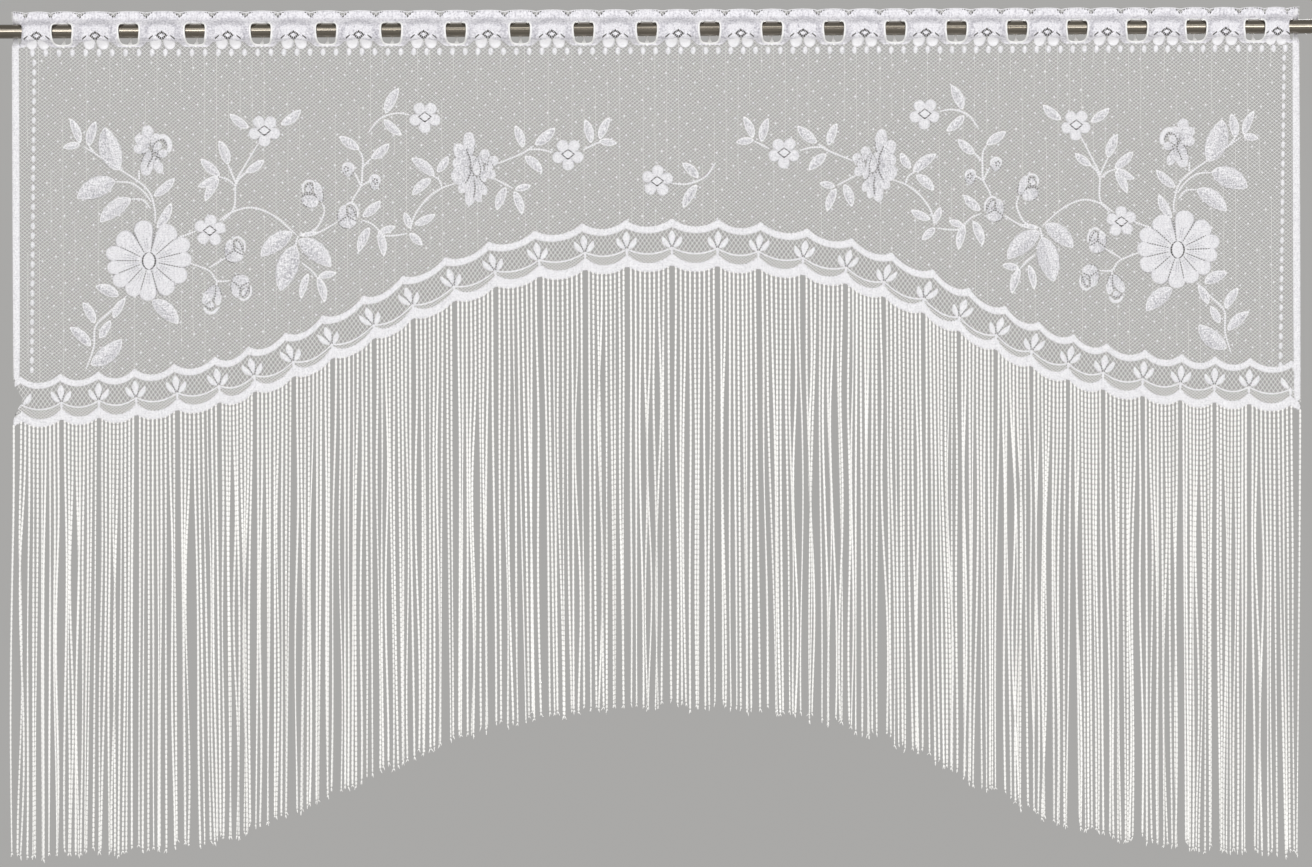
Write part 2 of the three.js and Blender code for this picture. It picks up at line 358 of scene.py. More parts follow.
def border_line(n, below, swag=0.0):
    """A line of the border at n steps from its middle cusp: so far below the cusps, swagging between.

    The cusps lie on half a wave from the crown down to level sides, with a shallow wave of 8.8 scallops
    on it. The swags are parabolas. Above the tulips' feet the knitting leans with the arch's slope, so x
    shifts, and below them it is drawn up by the cosine of that slope.
    """
    k = np.clip(np.floor(n).astype(int) + CUSPS_A_SIDE, 0, len(CUSPS) - 2)
    x = CUSPS[k] + (n + CUSPS_A_SIDE - k) * (CUSPS[k + 1] - CUSPS[k])
    rise = np.where(n < 0, ARCH_RISE_LEFT, ARCH_RISE_RIGHT)
    turn = np.pi * np.clip(n / ARCH_SCALLOPS, -1, 1)
    wave = 2 * np.pi * n / WAVE_SCALLOPS
    arch = -ARCH_CROWN - rise * (1 - np.cos(turn)) / 2 - ARCH_WAVE * np.cos(wave)
    slope = -rise * np.sin(turn) * np.pi / ARCH_SCALLOPS / 2
    slope = (slope + ARCH_WAVE * np.sin(wave) * 2 * np.pi / WAVE_SCALLOPS) / MEAN_STEP
    lean = BORDER_LEAN * slope * np.minimum(below - TULIP_FOOT_BELOW, 0)
    drawn_up = np.where(below > TULIP_FOOT_BELOW, 1 / np.hypot(1, slope), 1)
    return x + lean, arch - below * drawn_up - swag * (1 - (2 * (n % 1) - 1) ** 2)


def border_edge(x, below, swag):
    """Height at x of a line of the border."""
    return np.interp(x, *border_line(BORDER_STEPS, below, swag))


def drawn_in(x, z):
    """The left edge is drawn in at the border, in a bell 8.5 mm deep, so x is held to the right of it."""
    bell = np.exp(-(((z - DRAWN_AT) / DRAWN_HALF) ** 2))
    return np.maximum(x, PANEL_LEFT + DRAWN_DEEP * bell)


def net_surface():
    """Columns across the panel, closer at the windows, and rows from the top edge to the strip.

    Rows through the heading are level, so that the windows are cut along them; the rows below share
    out the height between the heading's foot and the strip's top edge.
    """
    across = np.arange(PANEL_LEFT, PANEL_RIGHT + 0.1, NET_COLUMN)
    near = np.array([*WINDOW_COLUMNS, WINDOW_HALF])
    near = np.concatenate([-near[:0:-1], near])
    across = across[from_window(across) > WINDOW_HALF + 1]
    beside = (PLACES[:, None] + near).ravel()
    across = np.concatenate([across, beside, CUSPS, [PANEL_LEFT, PANEL_RIGHT]])
    across = np.unique(across[(across >= PANEL_LEFT) & (across <= PANEL_RIGHT)].round(2))
    level = np.array([WINDOW_TOP, *WINDOW_ROWS, WINDOW_FOOT, *UNDER_ROWS, HEADING_FOOT], float)
    up = np.linspace(1, 0, CREST_ROWS + 1)[:-1, None]
    head = up * (top_edge(across) - WINDOW_TOP) + WINDOW_TOP
    share = np.linspace(0, 1, NET_ROWS)[1:, None]
    foot = border_edge(across, STRIP_TOP + NET_TUCK, STRIP_SWAG)
    hang = HEADING_FOOT + share * (foot - HEADING_FOOT)
    z = np.concatenate([head, np.broadcast_to(level[:, None], (len(level), len(across))), hang])
    return drawn_in(across, z), z


def window_faces(x, z, faces):
    """The faces that lie inside a window, which is cut out of the net."""
    middle_x = x.ravel()[faces].mean(1)
    middle_z = z.ravel()[faces].mean(1)
    return (from_window(middle_x) < WINDOW_HALF) & (middle_z < WINDOW_TOP) & (middle_z > WINDOW_FOOT)


def thread_net(x, z, mesh, thread):
    """1 on the threads of a diamond net: two families of slanting lines, thread being their share."""
    across = x / mesh[0]
    down = z / mesh[1]
    rising = (across + down).off_line(1.0) < thread / 2
    falling = (across - down).off_line(1.0) < thread / 2
    return rising.math("MAXIMUM", falling)


def carried(start, name):
    """The three parts of a vector that each point of the mesh carries."""
    return split(start, start.node("ShaderNodeAttribute", {"attribute_name": name}, out="Vector"))


lace_net, start = new_finish("lace_net", Roughness=0.85, Sheen_Weight=0.15)
x, y, z = places_in_mm(start)
x = x + speckle(x, y, z, WANDER_GRAIN) * WANDER
below_band, below_cord = carried(start, "zones")[:2]
in_border = below_band > 0.0
under_cord = below_cord > 0.0
ground = thread_net(x, z, GROUND_MESH, GROUND_THREAD)
wales = (x.off_line(WALE_LINE) < WALE_THREAD) * (speckle(x, y, z * 0.1, 0.08) > 0.5)
coarse = thread_net(x, z, OPEN_MESH, OPEN_THREAD)
fine = thread_net(x, z, FINE_MESH, FINE_THREAD)
border_net = coarse * (1 - under_cord) + fine * under_cord
threads = ground.math("MAXIMUM", wales) * (1 - in_border) + border_net * in_border
# Painted shade: the threads' grey end stands for shade on their round sides.
fibres = speckle(x, y, z, FIBRE_GRAIN)
feed(lace_net, Base_Color=fibres.mix(THREAD_SHADE, THREAD_WHITE), Alpha=threads)

net_x, net_z = net_surface()
net_faces = grid_faces(*net_x.shape)
net_faces = net_faces[~window_faces(net_x, net_z, net_faces)]
net_points = np.stack([net_x, cloth_depth(net_x, net_z), net_z], -1)
net_zones = np.stack([
    border_edge(net_x, BAND_DEPTH / 2, BAND_SWAG) - net_z,
    border_edge(net_x, CORD_BELOW, CORD_SWAG) - net_z,
    0 * net_z,
], -1)
net = add_piece("lace_net", net_points, net_faces, lace_net, "lace", "lace_panel", zones=net_zones)


# Heading
# A dense knitted band with a rounded window at each bar, where the rod shows. The bar passes behind
# the rod, and a flower with a dotted eye lies in front of it between each two windows. The eye's dots,
# the dashes and the notch slits are painted shade, and an arch of painted shade lies over each flower.
WINDOW_ROUND = 2 / 4.6
WINDOW_TAPER = 0.1
CELL_AROUND = 160
CELL_ROWS = 9
HEADING_THICK = 0.9
# The heading runs on this far past the bar at each hem.
PAST_HEM_BAR = 1.0
CREST_INSET = 0.7
NOTCH_DEEP = 4.2
NOTCH_HALF = 4.4
BAND_FOOT = -14.8
FOOT_RISE = 6.4
FOOT_ARCH = (9, 20)
EDGING_WIDE = 0.55
EDGING_THICK = 0.5
EDGING_INSET = 0.3
EDGING_STEPS = 760
RIM_WIDE = 0.9
RIM_OUT = 0.35
RIM_FRONT = 0.4
# A bar runs between two heights, and spreads towards each end from one given height to another.
BAR_RUN = (10, -15.5)
BAR_STEPS = 18
BAR_HALF = 0.7
BAR_FOOT = 2.8
BAR_THICK = 0.5
BAR_SPREAD_LOW = (-8, -13.5)
BAR_SPREAD_HIGH = (5, 9)
WALE = 1.41
COURSE = 1.6
# Grains to the millimetre of the yarn, the flecks and the streaks, which run up the cloth.
YARN_GRAIN = 0.7
FLECK_GRAIN = 0.9
HEADING_FLECK_GRAIN = 0.6
STREAK_GRAIN = 0.5
STREAK_STRETCH = 0.16
YARN_FINISH = {"Roughness": 0.8, "Sheen_Weight": 0.2, "Sheen_Roughness": 0.5}
# The arch of painted shade over each flower, and the diamond of painted shade round its eye: half
# width, rise and middle's height.
FLOWER_SHADE_ARCH = (16.1, 13.8, -5.5)
SHADE_ARCH_BLUR = 0.45
SHADE_ARCH_FOOT = -9.0
FLOWER_EYE = (4.4, 3.2, -4.9)
EYE_RING = 0.36
EYE_STITCH = 2.1
# The dash of painted shade over a lower petal: its middle and half length across, its middle's height
# and its slope.
DASH_ACROSS = (10.0, 1.9)
DASH_AT = (9.1, -5.9)
DASH_SLOPE = 0.69
DASH_HALF = 0.6
# The slits of painted shade along a notch: their middle and half length across, their depth and
# their spacing.
NOTCH_ACROSS = (15.3, 6.5)
NOTCH_SLIT = 0.9
NOTCH_STITCH = 2.3
LACE_WHITE = (0.87, 0.86, 0.9, 1)
LACE_GREY = (0.36, 0.35, 0.40, 1)
BAND_WHITE = (0.88, 0.875, 0.9, 1)
BAND_GREY = (0.42, 0.415, 0.45, 1)
RIM_WHITE = (0.98, 0.98, 0.97, 1)
FLOWER_WHITE = (0.97, 0.965, 0.99, 1)
FLOWER_GREY = (0.8, 0.79, 0.82, 1)
# Painted shade: the colour of open slits, which show only shade.
SLIT_SHADE_DARK = (0.05, 0.046, 0.042, 1)


def crest_line(x):
    """The dense band's top: the top edge, cut by a V of open net at each notch."""
    crest = np.abs(np.cos(2 * np.pi * steps_along(PLACES, x)))
    from_notch = np.arcsin(np.clip(crest, 0, 1)) / (2 * np.pi) * WINDOW_PITCH
    return top_edge(x) - CREST_INSET - NOTCH_DEEP * np.clip(1 - from_notch / NOTCH_HALF, 0, 1)


def foot_line(x):
    """The dense band's foot: under the windows, and higher in an arch over the lower petals."""
    return BAND_FOOT + FOOT_RISE * smooth(*FOOT_ARCH, from_window(x))


def window_outline(turn, grow=0.0):
    """A window's outline about its middle: a superellipse whose width tapers towards its foot."""
    cos, sin = np.cos(turn), np.sin(turn)
    tall = (WINDOW_TOP - WINDOW_FOOT) / 2 + grow
    z = (WINDOW_TOP + WINDOW_FOOT) / 2 + tall * np.sign(sin) * np.abs(sin) ** WINDOW_ROUND
    taper = 1 - WINDOW_TAPER * smooth(0, WINDOW_FOOT, z)
    return (WINDOW_HALF + grow) * taper * np.sign(cos) * np.abs(cos) ** WINDOW_ROUND, z


def heading_cell(place, left, right, turn):
    """Rings from a window's rounded outline out to the middles of the flowers beside it.

    The outer ring runs round a rectangle whose top and bottom are the crest and foot lines. The rings
    between share out the way. Each point also carries its distance from the nearest flower's middle,
    its height and its distance below the crests.
    """
    inner_x, inner_z = window_outline(turn)
    inner_x = inner_x + place
    outer = np.clip(np.sqrt(2) * np.cos(turn), -1, 1)
    outer_x = place + outer * np.where(outer > 0, right, left)
    rise = (np.clip(np.sqrt(2) * np.sin(turn), -1, 1) + 1) / 2
    outer_z = foot_line(outer_x) + rise * (crest_line(outer_x) - foot_line(outer_x))
    share = np.linspace(0, 1, CELL_ROWS)[:, None]
    x = inner_x + share * (outer_x - inner_x)
    z = inner_z + share * (outer_z - inner_z)
    to_flower = np.where(x > place, right, left) - np.abs(x - place)
    points = np.stack([x, cloth_depth(x, z), z], -1)
    return points.reshape(-1, 3), np.stack([to_flower, z, crest_line(x) - z], -1).reshape(-1, 3)


def hung_tubes(path, half_wide, half_thick, around=8, side=None, loop=False, lift=0.0, flat=0.6):
    """Closed tubes of flat oval section carried along paths that lie on the cloth.

    A path is a row of x and z places. At each step the oval spans the path's side direction in the
    cloth and the cloth's depth: half_wide * cos(a) across and half_thick * sin(a)^flat out of it.
    Gives the points, and for each point its distance along, that to the edge, and its share along.
    """
    path = np.asarray(path, float)
    ahead = np.roll(path, -1, 1) - np.roll(path, 1, 1) if loop else np.gradient(path, axis=1)
    ahead = ahead / np.maximum(np.linalg.norm(ahead, axis=-1, keepdims=True), 1e-9)
    if side is None:
        side = np.stack([ahead[..., 1], -ahead[..., 0]], -1)
    side = np.broadcast_to(side, path.shape)
    turn = 2 * np.pi * np.arange(around) / around
    wide = np.broadcast_to(half_wide, path.shape[:2])[..., None] * np.cos(turn)
    thick = np.sign(np.sin(turn)) * np.abs(np.sin(turn)) ** flat
    thick = np.broadcast_to(half_thick, path.shape[:2])[..., None] * thick
    x = path[..., :1] + side[..., :1] * wide
    z = path[..., 1:] + side[..., 1:] * wide
    y = cloth_depth(x, z) - lift - thick
    step = np.linalg.norm(np.diff(path, axis=1, prepend=path[:, :1]), axis=-1)
    along = np.cumsum(step, axis=1)
    share = along / np.maximum(along[:, -1:], 1e-9)
    edge = np.broadcast_to(half_wide, path.shape[:2])[..., None] * (1 - np.abs(np.cos(turn)))
    spread = np.broadcast_arrays(along[..., None], edge, share[..., None])
    return np.stack([x, y, z], -1), np.stack(spread, -1)


def tube_faces(points, loop=False):
    """Faces for tubes as hung_tubes gives them: bodies, steps along, points round."""
    bodies, steps, around = points.shape[:3]
    faces = grid_faces(steps, around, True)
    if loop:
        last = np.arange((steps - 1) * around, steps * around)
        first = np.arange(around)
        joined = [last, first, np.roll(first, -1), np.roll(last, -1)]
        faces = np.concatenate([faces, np.stack(joined, -1)])
    return repeat_faces(faces, bodies, steps * around)


def add_tubes(name, points, material, slot="lace", node="lace_panel", loop=False, **attributes):
    """One piece of closed tubes, which belongs to the lace panel unless another node is given."""
    return add_piece(name, points, tube_faces(points, loop), material, slot, node, True, **attributes)


def oval_ends(steps, point):
    """Shares of the full width along a tube that closes to a round or pointed end at both ends."""
    s = np.linspace(0, 1, steps)
    return np.clip(4 * s * (1 - s), 0, 1) ** point


def knit_grain(start):
    """The grain of dense knitting: loops in wales and courses, uneven yarn, and streaks up the cloth."""
    x, y, z = places_in_mm(start)
    loops = x.off_line(WALE) * 1.1 + z.off_line(COURSE) * 0.9
    yarn = speckle(x, y, z, YARN_GRAIN, 3.0)
    streaks = speckle(x, y, z * STREAK_STRETCH, STREAK_GRAIN)
    return loops, yarn, streaks


def knit_finish(name, white, grey, share, slits=None, dark=SLIT_SHADE_DARK):
    """Dense knitting that is white by a share and grey elsewhere, with slits in painted shade.

    Share and slits are functions of a socket and of the grain, and give values over the surface.
    """
    material, start = new_finish(name, **YARN_FINISH)
    grain = knit_grain(start)
    tone = share(start, *grain).held().mix(grey, white)
    if slits:
        tone = slits(start).mix(tone, dark)
    feed(material, Base_Color=tone, Normal=raised(grain[0] * 0.6 + grain[1] * 0.4, 0.5, 0.0006))
    return material


def flecks(start, grain=FLECK_GRAIN):
    """Light and dark flecks of noise, from -0.5 to 0.5."""
    return speckle(*places_in_mm(start), grain) - 0.5


def heading_share(start, loops, yarn, streaks):
    """White knitting with an arch of painted shade over each flower, 16 mm to each side and 14 mm tall."""
    away, z = carried(start, "flower")[:2]
    across = away / FLOWER_SHADE_ARCH[0]
    up = (z - FLOWER_SHADE_ARCH[2]) / FLOWER_SHADE_ARCH[1]
    off_arch = ((across * across + up * up).math("SQRT") - 1.0).math("ABSOLUTE") / SHADE_ARCH_BLUR
    arch = (1 - off_arch).math("MAXIMUM", 0.0) * (z > SHADE_ARCH_FOOT)
    fleck = flecks(start, HEADING_FLECK_GRAIN)
    return 0.9 + fleck * 1.8 + loops * 0.2 - arch * 0.36 - streaks * streaks * 0.7


def heading_slits(start):
    """Dots of painted shade: a diamond round each flower's eye, dashes over its lower petals and at
    notches.
    """
    away, z, below = carried(start, "flower")
    ring = away / FLOWER_EYE[0] + (z - FLOWER_EYE[2]).math("ABSOLUTE") / FLOWER_EYE[1]
    eye = ring.near(1.0, EYE_RING) * ((away + z * 0.6).off_line(EYE_STITCH) > 0.1)
    dash = (z - DASH_AT[1] + (away - DASH_AT[0]) * DASH_SLOPE).near(0.0, DASH_HALF)
    dash = dash * away.near(*DASH_ACROSS)
    notch = (below < NOTCH_SLIT) * away.near(*NOTCH_ACROSS) * (away.off_line(NOTCH_STITCH) > 0.22)
    return eye.math("MAXIMUM", dash).math("MAXIMUM", notch)


def band_share(start, loops, yarn, streaks):
    """White knitting with grey flecks between its loops."""
    return 0.84 + flecks(start) * 1.6 + loops * 0.25 - streaks * 0.25


heading_knit = knit_finish("heading_knit", LACE_WHITE, LACE_GREY, heading_share, heading_slits)
turn = 2 * np.pi * np.arange(CELL_AROUND) / CELL_AROUND
half_turn = np.linspace(-np.pi / 2, np.pi / 2, CELL_AROUND // 2 + 1)
flower_middles = (PLACES[1:] + PLACES[:-1]) / 2
cell_points = []
cell_flowers = []
cell_faces = []


def add_cell(place, left, right, turn, around):
    """Add one window's rings to the heading."""
    points, flower = heading_cell(place, left, right, turn)
    first = sum(len(part) for part in cell_points)
    cell_points.append(points)
    cell_flowers.append(flower)
    cell_faces.append(grid_faces(CELL_ROWS, len(turn), around) + first)


for k, window in enumerate(WINDOWS):
    add_cell(window, window - flower_middles[k], flower_middles[k + 1] - window, turn, True)
add_cell(-HEM_BAR, PAST_HEM_BAR, flower_middles[0] + HEM_BAR, half_turn, False)
add_cell(HEM_BAR, HEM_BAR - flower_middles[-1], PAST_HEM_BAR, half_turn + np.pi, False)
heading = add_piece(
    "heading_band", np.concatenate(cell_points), np.concatenate(cell_faces), heading_knit, "lace",
    "lace_panel", True, flower=np.concatenate(cell_flowers),
)
thickness = heading.modifiers.new("cloth", "SOLIDIFY")
thickness.thickness = HEADING_THICK * MM
thickness.offset = 0

band_knit = knit_finish("band_knit", BAND_WHITE, BAND_GREY, band_share)
rim_knit = knit_finish("rim_knit", RIM_WHITE, BAND_WHITE, band_share)
lace_knit = knit_finish("lace_knit", LACE_WHITE, LACE_GREY, band_share)
flower_knit = knit_finish("flower_knit", FLOWER_WHITE, FLOWER_GREY, band_share)
rim_x, rim_z = window_outline(turn[::4], RIM_OUT)
rim_path = np.stack(np.broadcast_arrays(WINDOWS[:, None] + rim_x, rim_z), -1)
rim_points = hung_tubes(rim_path, RIM_WIDE, RIM_WIDE, 8, loop=True, lift=RIM_FRONT)[0]
rims = add_tubes("window_rims", rim_points, rim_knit, loop=True)

bar_z = np.linspace(*BAR_RUN, BAR_STEPS)
bar_spread = smooth(*BAR_SPREAD_LOW, bar_z) + smooth(*BAR_SPREAD_HIGH, bar_z)
bar_wide = (BAR_HALF + (BAR_FOOT - BAR_HALF) * bar_spread) * oval_ends(BAR_STEPS, 0.2)
bar_path = np.stack(np.broadcast_arrays(WINDOWS[:, None], bar_z), -1)
bars = add_tubes("heading_bars", hung_tubes(bar_path, bar_wide, BAR_THICK, 10)[0], rim_knit)

edge_x = np.linspace(PANEL_LEFT + EDGING_INSET, PANEL_RIGHT - EDGING_INSET, EDGING_STEPS)
edge_path = np.stack([edge_x, top_edge(edge_x) - EDGING_WIDE], -1)[None]
edge_wide = EDGING_WIDE * oval_ends(EDGING_STEPS, 0.1)
edging = add_tubes("top_edging", hung_tubes(edge_path, edge_wide, EDGING_THICK, 6, (0, -1))[0], band_knit)


def oval_outline(t):
    """Share of the full width along a round petal: half an ellipse to each side."""
    return np.sqrt(4 * t * (1 - t))


def petal_bodies(base, tip, width, outline, bow=0.0, thick=1.3, steps=11, around=10, teeth=0.0, lift=0.0):
    """Leaves or petals: flat closed bodies on midribs that run from a base to a tip.

    The midrib bows sideways by 4t(1-t) times bow times its length. The outline gives the width's share
    at t, and teeth widens every other step by that share, as the knitting's steps do. Lift lays a body
    over those before it.
    """
    base, tip = np.asarray(base, float), np.asarray(tip, float)
    t = (1 - np.cos(np.pi * np.linspace(0, 1, steps))) / 2
    run = tip - base
    aside = np.stack([run[:, 1], -run[:, 0]], -1)
    bow = np.broadcast_to(bow, len(base))[:, None, None]
    path = base[:, None] + t[:, None] * run[:, None] + bow * (4 * t * (1 - t))[:, None] * aside[:, None]
    share = outline(t)
    stepped = share * (1 + teeth * np.cos(np.pi * np.arange(steps)))
    half_wide = np.broadcast_to(width, len(base))[:, None] / 2 * stepped
    lift = np.broadcast_to(lift, len(base))[:, None, None]
    return hung_tubes(path, half_wide, thick / 2 * share**0.4, around, lift=lift)


# Each petal of a heading flower: its base and its tip from the flower's middle, and its width.
LOWER_PETALS = [((-2.4, -7.2), (-9.9, -15.7), 11.8), ((2.4, -7.2), (9.9, -15.7), 11.8)]
UPPER_PETALS = [
    ((-5.0, -1.6), (-12.2, 3.4), 8.6), ((5.0, -1.6), (12.2, 3.4), 8.6), ((0, -1.0), (0, 6.6), 9.0),
]
LOWER_THICK = 1.5
UPPER_THICK = 1.3
SQUEEZE_EASE = 0.12


def heading_petals(name, petals, material, thick):
    """The same petals at every flower of the heading, squeezed across where windows stand closer."""
    base, tip, wide = (np.array(column) for column in zip(*petals))
    segment = np.minimum(1, np.diff(PLACES) / WINDOW_PITCH + SQUEEZE_EASE)
    squeeze = np.stack([segment, np.ones_like(segment)], -1)[:, None]
    shift = np.stack([flower_middles, 0 * flower_middles], -1)[:, None]
    base = (base * squeeze + shift).reshape(-1, 2)
    tip = (tip * squeeze + shift).reshape(-1, 2)
    wide = np.tile(wide, len(flower_middles))
    points = petal_bodies(base, tip, wide, oval_outline, 0.0, thick, 9, 8)[0]
    return add_tubes(name, points, material)


lower_petals = heading_petals("heading_petals", LOWER_PETALS, flower_knit, LOWER_THICK)
upper_petals = heading_petals("heading_upper_petals", UPPER_PETALS, lace_knit, UPPER_THICK)


# Side hems and dots
# The sides are turned to narrow hems. A row of drop-shaped dots runs under the heading and a line of
# them down beside each hem, and small dots are scattered on a slanting lattice all over the ground.
HEM_WIDE = 7
HEM_TOP = 15
HEM_FEET = (-322, -345)
HEM_STEPS = 120
HEM_ROUND = 0.08
HEM_THICK = 0.8
DOT_ROW = -20
DOTS_A_WINDOW = 5
DOTS_BEYOND = 3
DOT_SHIFT = 0.69
DOT_SIZE = (5.4, 7.2)
SIDE_PITCH = 8.83
SIDE_FOOT = -312
# The side dots' shift across and their lean with the height, on the left and on the right.
SIDE_SHIFT = np.array([1.93, -0.7])
SIDE_LEAN = np.array([0.0119, 0.0158])
SIDE_SIZE = (4.4, 6.5)
# The scattered dots' lattice: its two steps, and how many of each it runs to either side.
GROUND_STEP = np.array([(12.2, 4.0), (5.2, 10.5)])
GROUND_REACH = (80, 60)
GROUND_SIZE = (2.0, 2.0)
GROUND_THICK = 1.1
GROUND_JITTER = 0.5
GROUND_SEED = 11
# How far the scattered dots keep from the side dots, the heading's dots and the border.
GROUND_SIDE = 8
GROUND_TOP = 6
GROUND_FOOT = -2

hem_down = np.linspace(HEM_TOP, HEM_FEET, HEM_STEPS, axis=-1)
hem_across = np.array([PANEL_LEFT + HEM_WIDE / 2, PANEL_RIGHT - HEM_WIDE / 2])[:, None]
hem_path = np.stack(np.broadcast_arrays(hem_across, hem_down), -1)
hem_wide = HEM_WIDE / 2 * oval_ends(HEM_STEPS, HEM_ROUND)
hems = add_tubes("side_hems", hung_tubes(hem_path, hem_wide, HEM_THICK, 12)[0], band_knit)


def drop_outline(t):
    """Share of the full width along a dot with a point at top and bottom."""
    return (4 * t * (1 - t)) ** 0.66


def dots_at(places, size, steps=7, around=6, thick=1.5):
    """Drop-shaped dots, pointed at top and bottom, standing on the cloth at these places."""
    half = np.array([0, size[1] / 2])
    form = {"thick": thick, "steps": steps, "around": around}
    return petal_bodies(places - half, places + half, size[0], drop_outline, **form)[0]


dot_number = np.arange(-DOTS_BEYOND, DOTS_A_WINDOW * (WINDOW_COUNT - 1) + DOTS_BEYOND)
dot_steps = (dot_number + DOT_SHIFT) / DOTS_A_WINDOW
stops = np.concatenate([[2 * WINDOWS[0] - WINDOWS[1]], WINDOWS, [2 * WINDOWS[-1] - WINDOWS[-2]]])
row_x = np.interp(dot_steps, np.arange(-1, WINDOW_COUNT + 1), stops)
row_places = np.stack([row_x, np.full_like(row_x, DOT_ROW)], -1)
side_x = row_x[[0, -1]]
side_down = np.arange(DOT_ROW - SIDE_PITCH, SIDE_FOOT, -SIDE_PITCH)
side_places = np.stack(np.meshgrid(side_x, side_down), -1)
side_places[..., 0] += SIDE_SHIFT + SIDE_LEAN * side_places[..., 1]
side_places = side_places.reshape(-1, 2)
row_dots = add_tubes("heading_dots", dots_at(row_places, DOT_SIZE), band_knit)
side_dots = add_tubes("side_dots", dots_at(side_places, SIDE_SIZE), band_knit)

lattice = np.meshgrid(*(np.arange(-reach, reach + 1) for reach in GROUND_REACH))
ground_places = np.stack(lattice, -1).reshape(-1, 2) @ GROUND_STEP
ground_draw = np.random.default_rng(GROUND_SEED)
ground_places = ground_places + ground_draw.normal(0, GROUND_JITTER, ground_places.shape)
ground_x, ground_z = ground_places.T
inside = (ground_x > side_x[0] + GROUND_SIDE) & (ground_x < side_x[1] - GROUND_SIDE)
inside &= ground_z < DOT_ROW - GROUND_TOP
inside &= ground_z > border_edge(ground_x, GROUND_FOOT, BAND_SWAG)
ground_points = dots_at(ground_places[inside], GROUND_SIZE, steps=5, thick=GROUND_THICK)
ground_dots = add_tubes("ground_dots", ground_points, band_knit)


# Flower sprays
# Daisies, five-petalled, ruffled and double flowers, buds and leaves on thin stems, knitted densely
# into the net. The right half mirrors the left. Dotted slits of painted shade part the petals and
# ring the hearts.
CHART_STEP = 0.92
CHART_ROD = (656, 31)
MIRROR_LINE = 17.5
# How the right half differs from the left one mirrored: squeezed, leaning, slanting, its lower corner
# drawn outwards, and lifted towards the side. Each has its share and the places it is counted from.
RIGHT_SQUEEZE = 0.05
SQUEEZE_REACH = 480
RIGHT_LEAN = 0.03
LEAN_FROM = -200
LEAN_REACH = 350
RIGHT_SLANT = 0.026
SLANT_FROM = -197
CORNER_PULL = 0.055
CORNER_OUT = 415
CORNER_TOP = -110
CORNER_DEEP = 70
RIGHT_LIFT = 0.033
LIFT_REACH = 485
DAISY = (149, 261)
# Each daisy petal: its angle clockwise from straight up, its reach and its width in chart steps.
DAISY_PETALS = [
    (350, 41, 20.4), (34, 42, 22), (65, 45, 17.6), (88, 43, 17), (115.5, 41.6, 19), (147, 39.6, 19.4),
    (182.5, 40, 19), (210, 39.6, 18.4), (237, 42.3, 17.4), (260, 43, 15.6), (282, 44.3, 17), (311, 41, 21),
]
DAISY_INNER = 6.4
DAISY_LIFT = 0.15
DAISY_FRONT = 0.75
DAISY_HEART = (14.4, 17.6)
# Five-petalled flowers, of which some are turned: middle, and turn in degrees.
FIVE_PETALS = [(210, 231, 0), (264.5, 131, 32), (425, 118, 32), (568, 156, 32)]
MIDDLE_FLOWER = (657, 183)
FIVE_ANGLES = np.array([4, 75, 148, 221, 295])
FIVE_INNER = 2.6
FIVE_REACH = 16
FIVE_WIDE = 12.6
FIVE_HEART = (14, 11)
# Each leaf: its base and its tip on the chart, its width in chart steps, and its bow.
LEAVES = [
    (80, 143, 70, 118, 9, 0.05), (89, 146, 96, 121, 10, -0.05), (80, 144, 63, 147, 8, 0.0),
    (119, 170, 105, 127, 23, -0.05), (115, 181, 77, 198, 22, 0.05), (131, 199, 100, 222, 17, 0.06),
    (154, 196, 175, 178, 10, 0.05), (157, 228, 171.5, 203, 10, 0.06), (249, 128, 230, 114, 9.5, -0.05),
    (281, 125, 301, 110, 10, 0.06), (228, 165, 219, 141, 10.5, 0.05), (220, 176, 201, 159, 10, -0.03),
    (246, 172.5, 264, 160, 9, 0.05), (218, 176.5, 198, 187, 8.5, -0.06), (219, 179, 205.5, 202, 9.5, 0.05),
    (292, 233, 260.5, 257, 18, 0.05), (295, 246, 280, 291.5, 23, 0.02),
    (298, 240.5, 330.5, 267.5, 20, -0.06),
    (308, 274, 300.5, 299.5, 8, 0.05), (317, 277.5, 324, 303, 9, -0.05), (94, 323, 82, 302, 10, 0.05),
    (113, 318, 125, 298, 9, -0.05), (90, 346, 69, 327, 11, 0.05), (99, 338, 110, 320, 9, 0.0),
    (90, 364, 121, 339, 18, 0.07), (118, 296, 95, 286, 12, 0.05), (152, 301, 178, 324, 17, -0.06),
    (386, 114, 399, 89, 11, -0.05), (384, 120, 402, 136, 9.5, 0.05), (359, 150, 339, 137, 10, 0.0),
    (371, 159, 389, 144, 10, 0.05), (362, 217, 380, 201, 10, 0.05), (369, 228, 358, 253, 10, 0.05),
    (378, 232, 383, 257, 9, -0.05), (379, 233, 395, 227, 7.5, 0.0), (410, 229, 404, 213, 8, 0.0),
    (414, 225, 435, 215, 9, 0.05), (409, 234, 422, 246, 8.5, 0.0), (434, 177, 411, 159, 11.5, 0.05),
    (437, 173, 448, 157, 9, 0.05), (431, 180, 412, 196, 10.5, 0.05), (523, 149, 515, 127, 9.5, 0.05),
    (535, 146, 555, 129, 11, 0.05), (525, 158, 542, 174, 10.5, -0.05), (591, 145, 585, 121, 9.5, 0.05),
    (600, 141, 610, 119, 9, -0.05), (599, 143, 617, 145, 8, 0.0), (515, 191, 531, 187, 7.5, 0.0),
    (506, 189, 497, 212, 10, 0.05), (514, 193, 522, 216, 9, -0.05), (318, 277, 336, 273.4, 8, 0.0),
    (299, 236, 320, 233, 5, 0.0),
]
MIDDLE_LEAVES = [(698, 180, 682, 165, 9.5, 0.05), (697, 187, 683, 210, 10, 0.05)]
